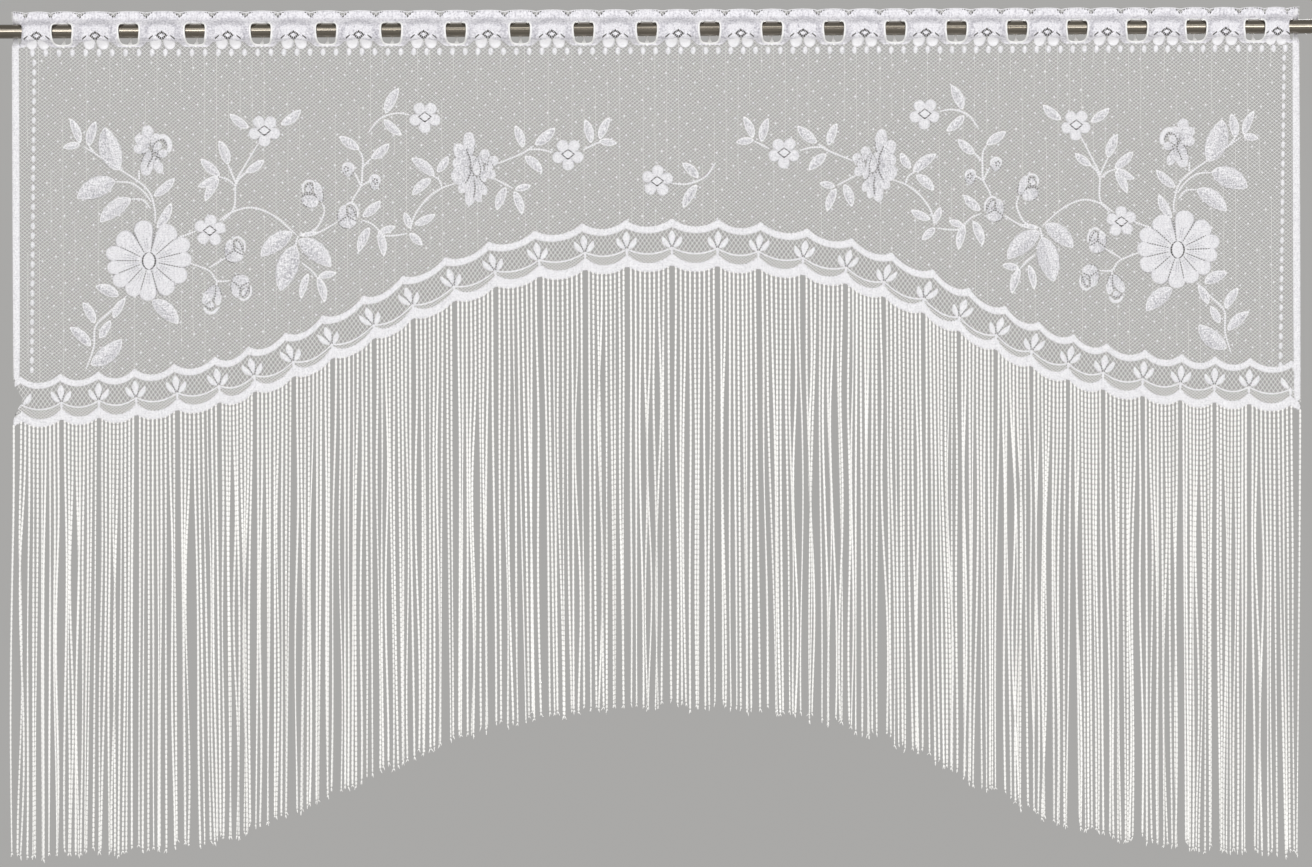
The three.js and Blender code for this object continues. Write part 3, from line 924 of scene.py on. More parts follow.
# Each lobe of a flower or a bud: its base and its tip on the chart, and its width in chart steps. Those
# further on lie over those before.
RUFFLED_FLOWER = [
    (150, 144, 146.5, 125.5, 12.5), (150, 147, 135.5, 136, 11.5), (150, 150, 133.5, 148.5, 10.5),
    (152, 148, 158, 133.5, 9.5), (150, 150, 145.5, 176, 14), (154, 155, 161.5, 173.5, 10),
    (155, 155, 168, 153, 9), (153.5, 152.5, 161, 143, 8),
]
DOUBLE_FLOWER = [
    (470, 160, 468.5, 133, 13), (468, 165, 452.4, 164, 13), (469, 168, 456, 145, 14.5),
    (472, 171, 452, 181, 20), (472, 172, 460, 194, 12), (475, 176, 468.5, 207, 12.5),
    (477, 178, 478.5, 203.5, 9),
    (479, 180, 485.5, 196.5, 8), (475, 176, 473, 157, 9), (484, 166, 485, 150.5, 11),
    (485, 167, 498, 160, 11), (485, 168, 494, 180, 10.5), (482, 170, 482.5, 184.5, 10),
    (479, 157, 477.5, 177, 11.5), (490, 162, 489, 173, 8),
]
ROUND_BUD = [(301.5, 199, 318, 204.5, 13.5), (321.5, 203, 315.5, 182.5, 9), (309.2, 184.4, 309.2, 193, 8)]
DROP_BUD = [(215.5, 285, 203, 304, 10), (216.5, 285, 218, 306, 8.5), (206, 305.5, 214.2, 305.5, 6.6)]
SMALL_BUDS = [(374.4, 191, 374.4, 175.4, 11), (348, 177.6, 348, 163.4, 11.6), (372.4, 182, 376.4, 182, 4)]
ROSEBUD = [(-10, 4.6, 8.4, 4.6, 15), (-9, 3.4, -2.6, -11.4, 8.6), (7.4, 0, 1.6, -10.6, 7)]
ROSEBUDS = [(234.8, 251.3, 1), (347.5, 217.3, 1), (240.8, 286.6, -1)]
LOBE_LIFT = 0.08
LOBE_THICK = 1.0
# Each rim round a flower or a bud: its width, and the places that it runs through.
RIMS = [
    (5.4, [(157, 139), (163.5, 136.5), (169, 141), (170, 148), (167.5, 152)]),
    (2.4, [(303.4, 194), (302.6, 187), (306.5, 182), (312.5, 182), (315.4, 187)]),
    (3.4, [(203.5, 307), (207, 312.5), (213, 313), (218.5, 307.5)]),
    (2.2, [(369.6, 185), (369.8, 178.4), (374.4, 175.6), (379, 178.4), (379.4, 185)]),
    (2.2, [(343, 172.6), (343, 166.4), (348, 163.6), (353, 166.4), (353.4, 172.6)]),
]
ROSEBUD_RIM = (2.6, [(-2.8, -11.3), (3.2, -13.8), (9.2, -8.3), (9.7, 1.7)])
# Each row of dotted slits in a flower or a bud, a cord in painted shade: how far it lies to the
# front, and its places.
SLITS = [
    (1.1, [(152.5, 147), (158, 141), (164, 141), (168, 148)]),
    (1.1, [(151, 148), (153, 156), (150, 162), (147, 169)]),
    (1.1, [(158.5, 153), (156, 160)]), (1.4, [(466, 150), (470, 160), (471, 168)]),
    (1.4, [(472, 168), (470, 176), (465, 185)]), (1.4, [(478, 159), (480.5, 170), (480, 180), (487, 187)]),
    (1.4, [(474, 181), (475, 190), (473.5, 200)]), (1.4, [(484, 165), (489, 167), (487, 172)]),
    (0.7, [(301.5, 197), (309, 193), (317, 198)]),
    (0.7, [(305.2, 188), (309.2, 184.2), (313, 188), (309.4, 192.4)]),
    (0.7, [(215.8, 285), (215.4, 294), (213.4, 302)]), (0.7, [(205, 306), (209, 309.4), (215, 307)]),
    (0.7, [(372, 182.6), (374, 179.6), (377, 181.4), (376, 184.4), (373, 184.4)]),
    (0.7, [(343.6, 170.4), (345.2, 167.4), (348, 169), (347.2, 172), (344.6, 172)]),
]
ROSEBUD_SLITS = [
    [(-10, 6), (-6, 3), (-0.6, -0.6)], [(-0.6, -0.6), (4, 2), (8, 4)],
    [(-0.6, -0.6), (-1, -5), (-1.5, -10)], [(0.6, -10.6), (5, -8), (8, 0.5)],
]
ROSEBUD_FRONT = 0.7
HEART_FRONT = 0.8
BUD_RIM_THICK = 1.4
SLIT_WIDE = 1.3
FINE_SLIT_WIDE = SLIT_WIDE * 0.8
SLIT_THICK = 0.4
# Slits of painted shade part the daisy's petals, from an inner reach to a share of the shorter petal's
# reach. A vein lies to each side of a petal's midrib, turned by these degrees, from its own inner reach.
PARTING_INNER = 9.5
PARTING_SHARE = 0.8
VEIN_TURNS = (-3, 4)
VEIN_INNER = 12
VEIN_SHARE = 0.6
VEIN_WIDE = 0.6
STEM_WIDE = 1.9
STEM_THICK = 1.3
STEM_STEPS = 25
RIM_STEPS = 17
STEMS = [
    [(80, 144), (118, 168), (147, 189), (155, 210), (155, 224)], [(131, 199), (143, 200), (151, 209)],
    [(139, 170), (139.4, 180)], [(260, 141), (245, 166), (236, 183), (234, 208), (221, 223)],
    [(321.7, 203), (324, 213), (317, 227.6), (309.4, 233), (298, 236)],
    [(186, 262), (209, 271), (217, 281), (231, 281)], [(209, 268), (216, 264), (226, 258)],
    [(217, 281), (216, 287)], [(218, 222), (231, 213), (252, 208), (275, 217), (298, 237)],
    [(301, 263), (306, 267), (311, 271), (317, 278)],
    [(128, 294), (110, 311), (95, 326), (93, 347), (84, 372)],
    [(367.4, 134.5), (377, 122), (386, 116.5), (398, 114), (411, 116)],
    [(358, 149.5), (362.3, 158), (362, 172), (360.6, 186), (353, 199), (351.5, 205)],
    [(362.3, 168), (366.7, 163), (371, 159)], [(354, 173), (357.2, 179), (360.2, 186)],
    [(369, 182), (365, 184), (360.6, 186.7)], [(433, 177), (439, 181), (442, 189)],
    [(300, 236), (318, 233), (338, 222)],
    [(360, 220), (370.5, 224), (377, 229.6), (383, 236), (396, 236), (408, 234)],
    [(409.6, 232.5), (412, 222), (417, 211.5), (428.6, 198), (442, 189), (457, 184)],
    [(89, 146), (93, 151), (98, 156)], [(496, 166), (522, 155), (534, 147)],
    [(526, 151), (540, 151), (553, 154)], [(583, 152), (599, 144)], [(494, 180), (513, 190)],
    [(228, 165), (232, 174), (236, 184)], [(219, 177), (228, 180), (235, 186)],
    [(247, 172), (240, 178), (236, 185)], [(114, 181.5), (131, 183), (144, 192), (152, 203)],
    [(178, 238), (187, 235), (197, 231)], [(298, 236), (296.4, 241), (295, 248)],
]
MIDDLE_STEM = [(670, 185), (687, 186), (705, 179), (716, 164)]
LEAF_WHITE = (0.90, 0.895, 0.915, 1)
PETAL_WHITE = (0.84, 0.835, 0.86, 1)
LEAF_GREY = (0.32, 0.315, 0.35, 1)
PETAL_GREY = (0.40, 0.395, 0.43, 1)
# A lighter painted shade, for the slits in the flowers and buds.
SLIT_SHADE_GREY = (0.15, 0.145, 0.14, 1)
# The length of a stitch along rims and rows of slits, and along other edges, stems and veins.
RIM_STITCH = 2.4
PETAL_STITCH = 2.5
HEART_STITCH = 2.3
STEM_STITCH = 2.2
VEIN_STITCH = 2.6


def charted(points):
    """Places as x and z on the cloth, given in steps of a knitting chart from its top left corner."""
    points = np.asarray(points, float)
    return (points - CHART_ROD) * (CHART_STEP, -CHART_STEP)


def mirrored(points):
    """Places on the left half carried to the right one, away being the distance from the mirror line.

    Away is squeezed the more the further out a place lies, and stretched by the lean above the lean's
    level. The slant shifts x with the height, the lower corner is pulled outwards past a distance, and
    heights shrink towards the side.
    """
    away = MIRROR_LINE - points[..., 0]
    height = points[..., 1]
    lean = RIGHT_LEAN * (height - LEAN_FROM) / LEAN_REACH
    scale = 1 - RIGHT_SQUEEZE * away / SQUEEZE_REACH + lean
    corner = np.clip((CORNER_TOP - height) / CORNER_DEEP, 0, 1)
    x = MIRROR_LINE + away * scale + RIGHT_SLANT * (height - SLANT_FROM)
    x = x + CORNER_PULL * np.maximum(away - CORNER_OUT, 0) * corner
    return np.stack([x, height * (1 - RIGHT_LIFT * away / LIFT_REACH)], -1)


def both_halves(points):
    """Charted places of the left half, with their mirrored places after them."""
    left = charted(points)
    return np.concatenate([left, mirrored(left)])


def leaf_outline(t):
    """Share of a leaf's full width: full at its middle and more pointed at its tip than at its base."""
    return (t / 0.467) ** 0.7 * ((1 - t) / 0.533) ** 0.8


def wedge_outline(t):
    """Share of a daisy petal's full width: 0 at its very base, then 0.22 opening to 1, and a blunt end."""
    end = np.clip((t - 0.72) / 0.28, 0, 1)
    return (t > 0) * (0.22 + 0.78 * np.minimum(t / 0.72, 1) ** 0.75) * np.sqrt(1 - end**2.4)


def blunt_outline(t):
    """Share of a flower petal's full width: an oval that is fuller towards its tip."""
    return np.sqrt(4 * t * (1 - t)) * (0.8 + 0.4 * t) / 1.04


def diamond_outline(t):
    """Share of a diamond's full width."""
    return 1 - np.abs(2 * t - 1)


def stitched_rim(along, edge, wide, low):
    """White stitches along a body's rim, wide mm across, with a low share of white between them."""
    return (edge < wide) * (low + (along.off_line(RIM_STITCH) > 0.14) * (1 - low))


def leaf_share(start, loops, yarn, streaks):
    """White at a leaf's rim and flecked inside, its lower half being greyer."""
    along, edge = carried(start, "spread")[:2]
    half = carried(start, "half")[0]
    inside = 0.5 + flecks(start) * 2.4 + loops * 0.3 - (half < 0.0) * 0.16
    return inside.math("MAXIMUM", stitched_rim(along, edge, 1.2, 0.7))


def petal_share(start, loops, yarn, streaks):
    """White with grey flecks and fine streaks."""
    return 0.84 + flecks(start) * 1.8 + loops * 0.25 - streaks * 0.35


def ruffle_share(start, loops, yarn, streaks):
    """Flecked grey in a lobe's inner part, and white towards its tip and at its rim."""
    along, edge, share = carried(start, "spread")
    inside = 0.4 + flecks(start) * 2.6 + share * 0.32 + loops * 0.2
    return inside.math("MAXIMUM", stitched_rim(along, edge, 1.0, 0.65))


def petal_slits(start):
    """Dotted slits of painted shade along both edges of a petal's inner part."""
    along, edge, share = carried(start, "spread")
    return (edge < 0.8) * (share < 0.5) * (along.off_line(PETAL_STITCH) > 0.16)


def heart_slits(start):
    """A dotted ring of painted shade round a flower's heart."""
    along, edge = carried(start, "spread")[:2]
    return (edge < 1.4) * (along.off_line(HEART_STITCH) > 0.1)


def stem_share(start, loops, yarn, streaks):
    """White yarn with a slight mark at each stitch."""
    along = carried(start, "spread")[0]
    return 0.9 + yarn * 0.15 - (along.off_line(STEM_STITCH) < 0.16) * 0.5


def vein_share(start, loops, yarn, streaks):
    """Grey dashes with white between."""
    return (carried(start, "spread")[0].off_line(VEIN_STITCH) < 0.17) * 0.8 + 0.1


def slit_share(start, loops, yarn, streaks):
    """White yarn across a row of slits."""
    return yarn * 0.2 + 0.6


def row_slits(start):
    """The slits of a row in painted shade, with a thread across between each two."""
    return carried(start, "spread")[0].off_line(RIM_STITCH) > 0.2


leaf_knit = knit_finish("leaf_knit", LEAF_WHITE, LEAF_GREY, leaf_share)
daisy_knit = knit_finish("daisy_knit", PETAL_WHITE, PETAL_GREY, petal_share)
ruffle_knit = knit_finish("ruffle_knit", PETAL_WHITE, LEAF_GREY, ruffle_share, petal_slits, SLIT_SHADE_GREY)
heart_knit = knit_finish("heart_knit", PETAL_WHITE, BAND_GREY, band_share, heart_slits)
stem_knit = knit_finish("stem_knit", LEAF_WHITE, LEAF_GREY, stem_share)
slit_shade_knit = knit_finish("slit_shade_knit", BAND_WHITE, BAND_GREY, slit_share, row_slits, SLIT_SHADE_GREY)
vein_knit = knit_finish("vein_knit", BAND_WHITE, PETAL_GREY, vein_share)


def polar(middle, angles, reach):
    """Chart places round a middle, angles in degrees clockwise from straight up."""
    angles = np.radians(angles)
    return np.stack([middle[0] + reach * np.sin(angles), middle[1] - reach * np.cos(angles)], -1)


def add_motifs(name, base, tip, width, outline, material, **form):
    """One piece of leaves or petals, given on the cloth with their widths in chart steps.

    Half runs from -1 at a body's lower edge to 1 at its upper one.
    """
    points, spread = petal_bodies(base, tip, np.asarray(width) * CHART_STEP, outline, **form)
    around = points.shape[2]
    upper = np.where(tip[:, 0] < base[:, 0], 1, -1)[:, None, None, None]
    across = np.cos(2 * np.pi * np.arange(around) / around)[:, None]
    half = np.broadcast_to(upper * across, points.shape)
    return add_tubes(name, points, material, spread=spread, half=half)


def on_both(table):
    """Bases, tips and widths of a table's motifs, on both halves of the panel."""
    return both_halves(table[:, :2]), both_halves(table[:, 2:4]), np.tile(table[:, 4], 2)


leaf_table = np.array(LEAVES)
middle_table = np.array(MIDDLE_LEAVES)
middle_leaves = charted(middle_table[:, :2]), charted(middle_table[:, 2:4]), middle_table[:, 4]
leaf_places = [np.concatenate(parts) for parts in zip(on_both(leaf_table), middle_leaves)]
leaf_bow = np.concatenate([leaf_table[:, 5], -leaf_table[:, 5], middle_table[:, 5]])
leaves = add_motifs(
    "leaves", *leaf_places, leaf_outline, leaf_knit, bow=leaf_bow, steps=17, teeth=0.05
)

daisy_turn, daisy_reach, daisy_wide = np.array(DAISY_PETALS).T
daisy_base = both_halves(polar(DAISY, daisy_turn, DAISY_INNER))
daisy_tip = both_halves(polar(DAISY, daisy_turn, daisy_reach))
daisies = add_motifs(
    "daisy_petals", daisy_base, daisy_tip, np.tile(daisy_wide, 2), wedge_outline, daisy_knit, steps=15,
    lift=np.arange(len(daisy_base)) % 2 * DAISY_LIFT,
)

five_table = np.array(FIVE_PETALS)


def five_places(reach):
    """A place for each petal of the five-petalled flowers, at a reach from its flower's middle."""
    sides = [both_halves(polar(row, FIVE_ANGLES + row[2], reach)) for row in five_table]
    return np.concatenate([*sides, charted(polar(MIDDLE_FLOWER, FIVE_ANGLES, reach))])


five_base, five_tip = five_places(FIVE_INNER), five_places(FIVE_REACH)
fives = add_motifs(
    "five_petals", five_base, five_tip, np.full(len(five_base), FIVE_WIDE), blunt_outline, daisy_knit
)

lobe_table = np.array(RUFFLED_FLOWER + DOUBLE_FLOWER)
lobe_order = np.concatenate([np.arange(len(RUFFLED_FLOWER)), np.arange(len(DOUBLE_FLOWER))])
ruffles = add_motifs(
    "ruffled_petals", *on_both(lobe_table), blunt_outline, ruffle_knit, thick=LOBE_THICK, teeth=0.06,
    lift=np.tile(lobe_order * LOBE_LIFT, 2),
)

rosebud = np.array(ROSEBUD)
bud_rows = [np.array(ROUND_BUD + DROP_BUD + SMALL_BUDS)]
rim_rows = [(wide, np.array(places)) for wide, places in RIMS]
slit_rows = [(lift, np.array(places)) for lift, places in SLITS]
for across, down, way in ROSEBUDS:
    turned = rosebud * (1, way, 1, way, 1)
    bud_rows.append(turned + (across, down, across, down, 0))
    rim_rows.append((ROSEBUD_RIM[0], np.array(ROSEBUD_RIM[1]) * (1, way) + (across, down)))
    for places in ROSEBUD_SLITS:
        slit_rows.append((ROSEBUD_FRONT, np.array(places) * (1, way) + (across, down)))
bud_table = np.concatenate(bud_rows)
bud_lift = np.tile(np.arange(len(bud_table)) % 3 * LOBE_LIFT, 2)
buds = add_motifs(
    "buds", *on_both(bud_table), oval_outline, ruffle_knit, thick=LOBE_THICK, lift=bud_lift
)


def add_hearts(name, places, size, outline):
    """Upright hearts in front of flowers' petals, their size in chart steps."""
    half = np.array([0, size[1] / 2 * CHART_STEP])
    wide = np.full(len(places), size[0])
    form = {"steps": 13, "lift": HEART_FRONT}
    return add_motifs(name, places - half, places + half, wide, outline, heart_knit, **form)


daisy_hearts = add_hearts("daisy_hearts", both_halves([DAISY]), DAISY_HEART, oval_outline)
five_middles = np.concatenate([both_halves(five_table[:, :2]), charted([MIDDLE_FLOWER])])
five_hearts = add_hearts("five_hearts", five_middles, FIVE_HEART, diamond_outline)


def through(points, steps):
    """A smooth path through places: a Catmull-Rom spline, its ends carried on straight."""
    points = np.asarray(points, float)
    padded = np.concatenate([2 * points[:1] - points[1:2], points, 2 * points[-1:] - points[-2:-1]])
    t = np.linspace(0, len(points) - 1, steps)
    k = np.minimum(t.astype(int), len(points) - 2)
    f = (t - k)[:, None]
    a, b, c, d = (padded[k + n] for n in range(4))
    return 0.5 * (2 * b + (c - a) * f + (2 * a - 5 * b + 4 * c - d) * f**2 + (3 * (b - c) + d - a) * f**3)


def add_cords(name, paths, wide, thick, material, lift=0.0):
    """One piece of thin cords that follow paths on the cloth."""
    ends = oval_ends(paths.shape[1], 0.2)
    half_wide = np.broadcast_to(wide, len(paths))[:, None] / 2 * ends
    points, spread = hung_tubes(paths, half_wide, thick / 2 * ends, 8, lift=lift)
    return add_tubes(name, points, material, spread=spread)


def chart_paths(rows, steps):
    """Smooth paths through rows of chart places, on both halves of the panel."""
    return both_halves(np.stack([through(row, steps) for row in rows]))


middle_stem = charted(through(MIDDLE_STEM, STEM_STEPS))
stem_paths = np.concatenate([chart_paths(STEMS, STEM_STEPS), middle_stem[None]])
stems = add_cords("stems", stem_paths, STEM_WIDE, STEM_THICK, stem_knit)
rim_widths, rim_places = zip(*rim_rows)
rim_wide = np.tile(rim_widths, 2) * CHART_STEP
bud_rims = add_cords("bud_rims", chart_paths(rim_places, RIM_STEPS), rim_wide, BUD_RIM_THICK, band_knit)
slit_fronts, slit_places = zip(*slit_rows)
slit_lift = np.tile(slit_fronts, 2)[:, None, None]
slit_paths = chart_paths(slit_places, RIM_STEPS)
slits = add_cords("flower_slits", slit_paths, SLIT_WIDE, SLIT_THICK, slit_shade_knit, slit_lift)


def daisy_lines(angles, inner, outer):
    """Straight lines from the daisy's heart outwards at these angles, on both halves of the panel."""
    reach = inner + (outer - inner)[:, None] * np.linspace(0, 1, RIM_STEPS)
    return both_halves(polar(DAISY, angles[:, None], reach))


next_turn = np.roll(daisy_turn, -1)
between = daisy_turn + (next_turn - daisy_turn) % 360 / 2
shorter = np.minimum(daisy_reach, np.roll(daisy_reach, -1))
parting = daisy_lines(between, PARTING_INNER, PARTING_SHARE * shorter)
daisy_slits = add_cords("daisy_slits", parting, FINE_SLIT_WIDE, SLIT_THICK, slit_shade_knit, DAISY_FRONT)
vein_turns = np.concatenate([daisy_turn + turn for turn in VEIN_TURNS])
veins = daisy_lines(vein_turns, VEIN_INNER, np.tile(daisy_reach, 2) * VEIN_SHARE)
daisy_veins = add_cords("daisy_veins", veins, VEIN_WIDE, SLIT_THICK, vein_knit, DAISY_FRONT)


# Border
# An arched border of open mesh under a dense scalloped band. A tulip hangs at each cusp, and a thin
# cord runs in swags from foot to foot, with a finer mesh below it.
CORD_WIDE = 0.82
CORD_THICK = 1.4
BAND_THICK = 1.6
BAND_TEETH = 0.1
BAND_PEAK = 1.6
BAND_ROUND = 0.05
BAND_CLEAR = 0.5
# Each leaf of a tulip: its base and its tip from the cusp, and its width.
TULIP_CENTRE = ((0, -23), (0, -9.4), 7)
TULIP_SIDES = ((1.2, -25), (8.8, -14.9), 5.2)
TULIP_STEM = ((0, -32), (0, -23.6), 2.6)
# The dotted slits of painted shade beside a tulip's middle leaf: places from the cusp, mirrored.
TULIP_SLIT = [(0.5, -25.4), (1.9, -21.6), (3.4, -16.8)]
TULIP_TILT = 0.35
TULIP_BOW = 0.1
TULIP_FRONT = 0.75


def border_band(name, top, bottom, swag, thick, peak=0.0, slot="lace", node="lace_panel"):
    """A dense band along the border, between two lines that swag alike, its edges stepped like knitting.

    The upper line also rises to a peak at each cusp, by the cube of the share of the way from mid scallop.
    """
    line_x, line_z = border_line(BORDER_STEPS, (top + bottom) / 2, swag)
    rise = peak * np.abs(2 * (BORDER_STEPS % 1) - 1) ** 3
    inside = (line_x > PANEL_LEFT + BAND_CLEAR) & (line_x < PANEL_RIGHT - BAND_CLEAR)
    x = np.concatenate([[PANEL_LEFT], line_x[inside], [PANEL_RIGHT]])
    z = np.interp(x, line_x, line_z + rise / 2)
    half_wide = (bottom - top + np.interp(x, line_x, rise)) / 2
    ends = oval_ends(len(x), BAND_ROUND) * (1 + BAND_TEETH * np.cos(np.pi * np.arange(len(x))))
    path = np.stack([drawn_in(x, z), z], -1)[None]
    points = hung_tubes(path, half_wide * ends, thick / 2 * ends, 12, (0, -1), flat=0.35)[0]
    return add_tubes(name, points, band_knit, slot, node)


def on_cusps(offset, cusps):
    """Places offset from cusps, leaning and tilting with the arch's slope as the border does."""
    below = -offset[1]
    x, z = border_line(cusps, below)
    ahead = border_line(cusps + 0.5, below)
    behind = border_line(cusps - 0.5, below)
    slope = (ahead[1] - behind[1]) / (ahead[0] - behind[0])
    return np.stack([x + offset[0], z + TULIP_TILT * slope * offset[0]], -1)


def tulip_part(base, tip, wide, bow, cusps):
    """One leaf of the tulips at each of these cusps: bases, tips, widths and bows."""
    return on_cusps(base, cusps), on_cusps(tip, cusps), np.full(len(cusps), wide), np.full(len(cusps), bow)


upper_band = border_band("border_band", 0, BAND_DEPTH, BAND_SWAG, BAND_THICK, BAND_PEAK)
cord_lines = (CORD_BELOW - CORD_WIDE, CORD_BELOW + CORD_WIDE)
border_cord = border_band("border_cord", *cord_lines, CORD_SWAG, CORD_THICK)
whole = np.arange(1 - CUSPS_A_SIDE, CUSPS_A_SIDE)
with_left, with_right = np.append(whole, -CUSPS_A_SIDE), np.append(whole, CUSPS_A_SIDE)
flip = np.array([-1, 1])
tulip_parts = [
    tulip_part(*TULIP_CENTRE, 0, whole),
    tulip_part(*TULIP_STEM, 0, with_right),
    tulip_part(*TULIP_SIDES, TULIP_BOW, with_left),
    tulip_part(TULIP_SIDES[0] * flip, TULIP_SIDES[1] * flip, TULIP_SIDES[2], -TULIP_BOW, with_right),
]
tulip_base, tulip_tip, tulip_wide, tulip_bow = (np.concatenate(column) for column in zip(*tulip_parts))
tulip_wide = tulip_wide / CHART_STEP
tulips = add_motifs(
    "tulips", tulip_base, tulip_tip, tulip_wide, leaf_outline, band_knit, bow=tulip_bow, teeth=0.06
)
tulip_lines = [np.array(TULIP_SLIT) * (side, 1) for side in flip]
tulip_paths = [np.stack([on_cusps(place, whole) for place in line], 1) for line in tulip_lines]
tulip_paths = np.stack([through(path, RIM_STEPS) for path in np.concatenate(tulip_paths)])
tulip_slits = add_cords("tulip_slits", tulip_paths, FINE_SLIT_WIDE, SLIT_THICK, slit_shade_knit, TULIP_FRONT)


# Fringe
# The border's last dense band carries long knitted chain strings, nine to a scallop and cut to the
# same arch. Each hangs with its own lean and twist, and its cut end is frayed.
STRIP_BOTTOM = 42
STRIP_PEAK = 3.4
STRIP_THICK = 1.7
# The strings' length at the middle, and how much longer they grow for each metre to the right.
STRING_LENGTH = 400
LENGTH_PER_METRE = 11
STRING_ROOT = 3.5
RINGS = 175
STRING_WIDE = 0.98
STRING_THICK = 0.55
NECK = 0.72
GROUP_STRINGS = 9
GROUP_MARGIN = 0.085
END_STRINGS = 2
TAIL_LONG = 4.4
TAIL_RINGS = 5
TAIL_SIZE = 0.6
TAIL_ROOT = 1.0
# Unevenness along the row: over how many strings it changes slowly, by how much, and each string's own.
LEAN = (6, 3.6, 1.8)
WAVE = (5, 1.4, 0.7)
DEPTH_LEAN = (9, 2.0, 1.3)
# Each string's own draw: the least and the most, or the usual size about 0.
WAVE_TURNS = (0.6, 1.6)
TWIST_START = 0.4
TWIST = 2.2
LENGTH_CHANGE = 1.9
MARKS = (0.15, 1.0)
SPLAY = 0.9
TAILS_APART = 0.8
TAIL_CHANGE = (0.5, 1.3)
DRAW_SEED = 5
# The share of each chain stitch that is painted darker: painted shade between its loops.
STITCH_DASH = 0.11
STRING_WHITE = (0.99, 0.985, 0.965, 1)
STRING_SHADE = (0.55, 0.54, 0.52, 1)

strip = border_band(
    "fringe_strip", STRIP_TOP, STRIP_BOTTOM, STRIP_SWAG, STRIP_THICK, STRIP_PEAK, "string", "fringe"
)


def group_places(start, end, count):
    """Evenly spaced string places between two cusps, with a margin at each."""
    return start + (end - start) * np.linspace(GROUP_MARGIN, 1 - GROUP_MARGIN, count)


string_x = [group_places(PANEL_LEFT, CUSPS[0], END_STRINGS)]
string_x += [group_places(a, b, GROUP_STRINGS) for a, b in zip(CUSPS[:-1], CUSPS[1:])]
string_x = np.concatenate([*string_x, group_places(CUSPS[-1], PANEL_RIGHT, END_STRINGS)])
STRINGS = len(string_x)


def uneven(draw, reach, slow, each):
    """Random values for the strings: slow changes along the row over reach strings, and each one's own."""
    weights = np.exp(-(np.arange(-3 * reach, 3 * reach + 1) / reach) ** 2)
    values = np.convolve(draw.normal(size=STRINGS + 6 * reach), weights, "valid")
    return values / np.abs(values).max() * slow + draw.normal(0, each, STRINGS)


draw = np.random.default_rng(DRAW_SEED)
lean = uneven(draw, *LEAN)
wave = uneven(draw, *WAVE)
wave_turns = draw.uniform(*WAVE_TURNS, STRINGS)
wave_start = draw.uniform(0, 2 * np.pi, STRINGS)
depth_lean = uneven(draw, *DEPTH_LEAN)
twist_start = draw.normal(0, TWIST_START, STRINGS)
twist = draw.normal(0, TWIST, STRINGS)
length_change = draw.normal(0, LENGTH_CHANGE, STRINGS)
marks = draw.uniform(*MARKS, STRINGS)
splay = draw.normal(0, SPLAY, (2, STRINGS)) + np.array([[-TAILS_APART], [TAILS_APART]])
tail_long = TAIL_LONG * draw.uniform(*TAIL_CHANGE, (2, STRINGS))


def string_paths():
    """Each string's rings: straight down from the strip, leaning and waving more towards its free end."""
    t = np.linspace(0, 1, RINGS)
    length = STRING_LENGTH + LENGTH_PER_METRE * string_x / 1000 + length_change + STRING_ROOT
    root_z = border_edge(string_x, STRIP_BOTTOM, STRIP_SWAG) + STRING_ROOT
    swing = np.sin(2 * np.pi * wave_turns[:, None] * t + wave_start[:, None]) - np.sin(wave_start)[:, None]
    x = string_x[:, None] + lean[:, None] * t**1.2 + wave[:, None] * swing * smooth(0, 0.35, t)
    z = root_z[:, None] - length[:, None] * t
    y = cloth_depth(string_x, root_z)[:, None] + depth_lean[:, None] * t
    return np.stack([x, y, z], -1), t


def four_sided(path, wide, thick, angle):
    """Box-sided strands: four corners round each step of a path, turned about the strand by an angle."""
    side = np.array([-1, 1, 1, -1])
    front = np.array([1, 1, -1, -1])
    across = wide[..., None] * side
    deep = thick[..., None] * front
    cos, sin = np.cos(angle)[..., None], np.sin(angle)[..., None]
    x = path[..., 0, None] + across * cos - deep * sin
    y = path[..., 1, None] - across * sin - deep * cos
    return np.stack([x, y, np.broadcast_to(path[..., 2, None], x.shape)], -1)


def string_tails(ends):
    """Two loose yarns at the foot of each string: they splay apart and taper away from its end."""
    t = np.linspace(0, 1, TAIL_RINGS)
    path = np.broadcast_to(ends, (2, STRINGS, 3))[:, :, None] + np.zeros((TAIL_RINGS, 1))
    path[..., 0] += splay[..., None] * t
    path[..., 2] += TAIL_ROOT - tail_long[..., None] * t
    size = TAIL_SIZE * (1 - 0.8 * t)
    size[[0, -1]] = 0
    size = np.broadcast_to(size, path.shape[:3])
    return four_sided(path, size, size, 0 * size).reshape(-1, TAIL_RINGS, 4, 3)


string_knit, start = new_finish("string_knit", **YARN_FINISH)
stitch, mark = carried(start, "chain")[:2]
# Painted shade: a darker mark where each chain stitch meets the next, stronger on some strings.
dash = (stitch.off_line(1.0) < STITCH_DASH) * mark * 0.8
yarn = speckle(*places_in_mm(start), FLECK_GRAIN, 3.0)
feed(
    string_knit,
    Base_Color=(0.9 + yarn * 0.2 - dash).held().mix(STRING_SHADE, STRING_WHITE),
    Normal=raised(yarn, 0.4, 0.0005),
)
string_path, along = string_paths()
swell = np.where(np.arange(RINGS) % 2 == 0, NECK, 1.0)
shut = np.ones(RINGS)
shut[[0, -1]] = 0
turned = twist_start[:, None] + twist[:, None] * along
string_wide = np.broadcast_to(STRING_WIDE * swell * shut, turned.shape)
string_thick = np.broadcast_to(STRING_THICK * (0.5 + 0.5 * swell) * shut, turned.shape)
all_strings = four_sided(string_path, string_wide, string_thick, turned)
stitch_number = np.broadcast_to((np.arange(RINGS) / 2)[None, :, None], all_strings.shape[:3])
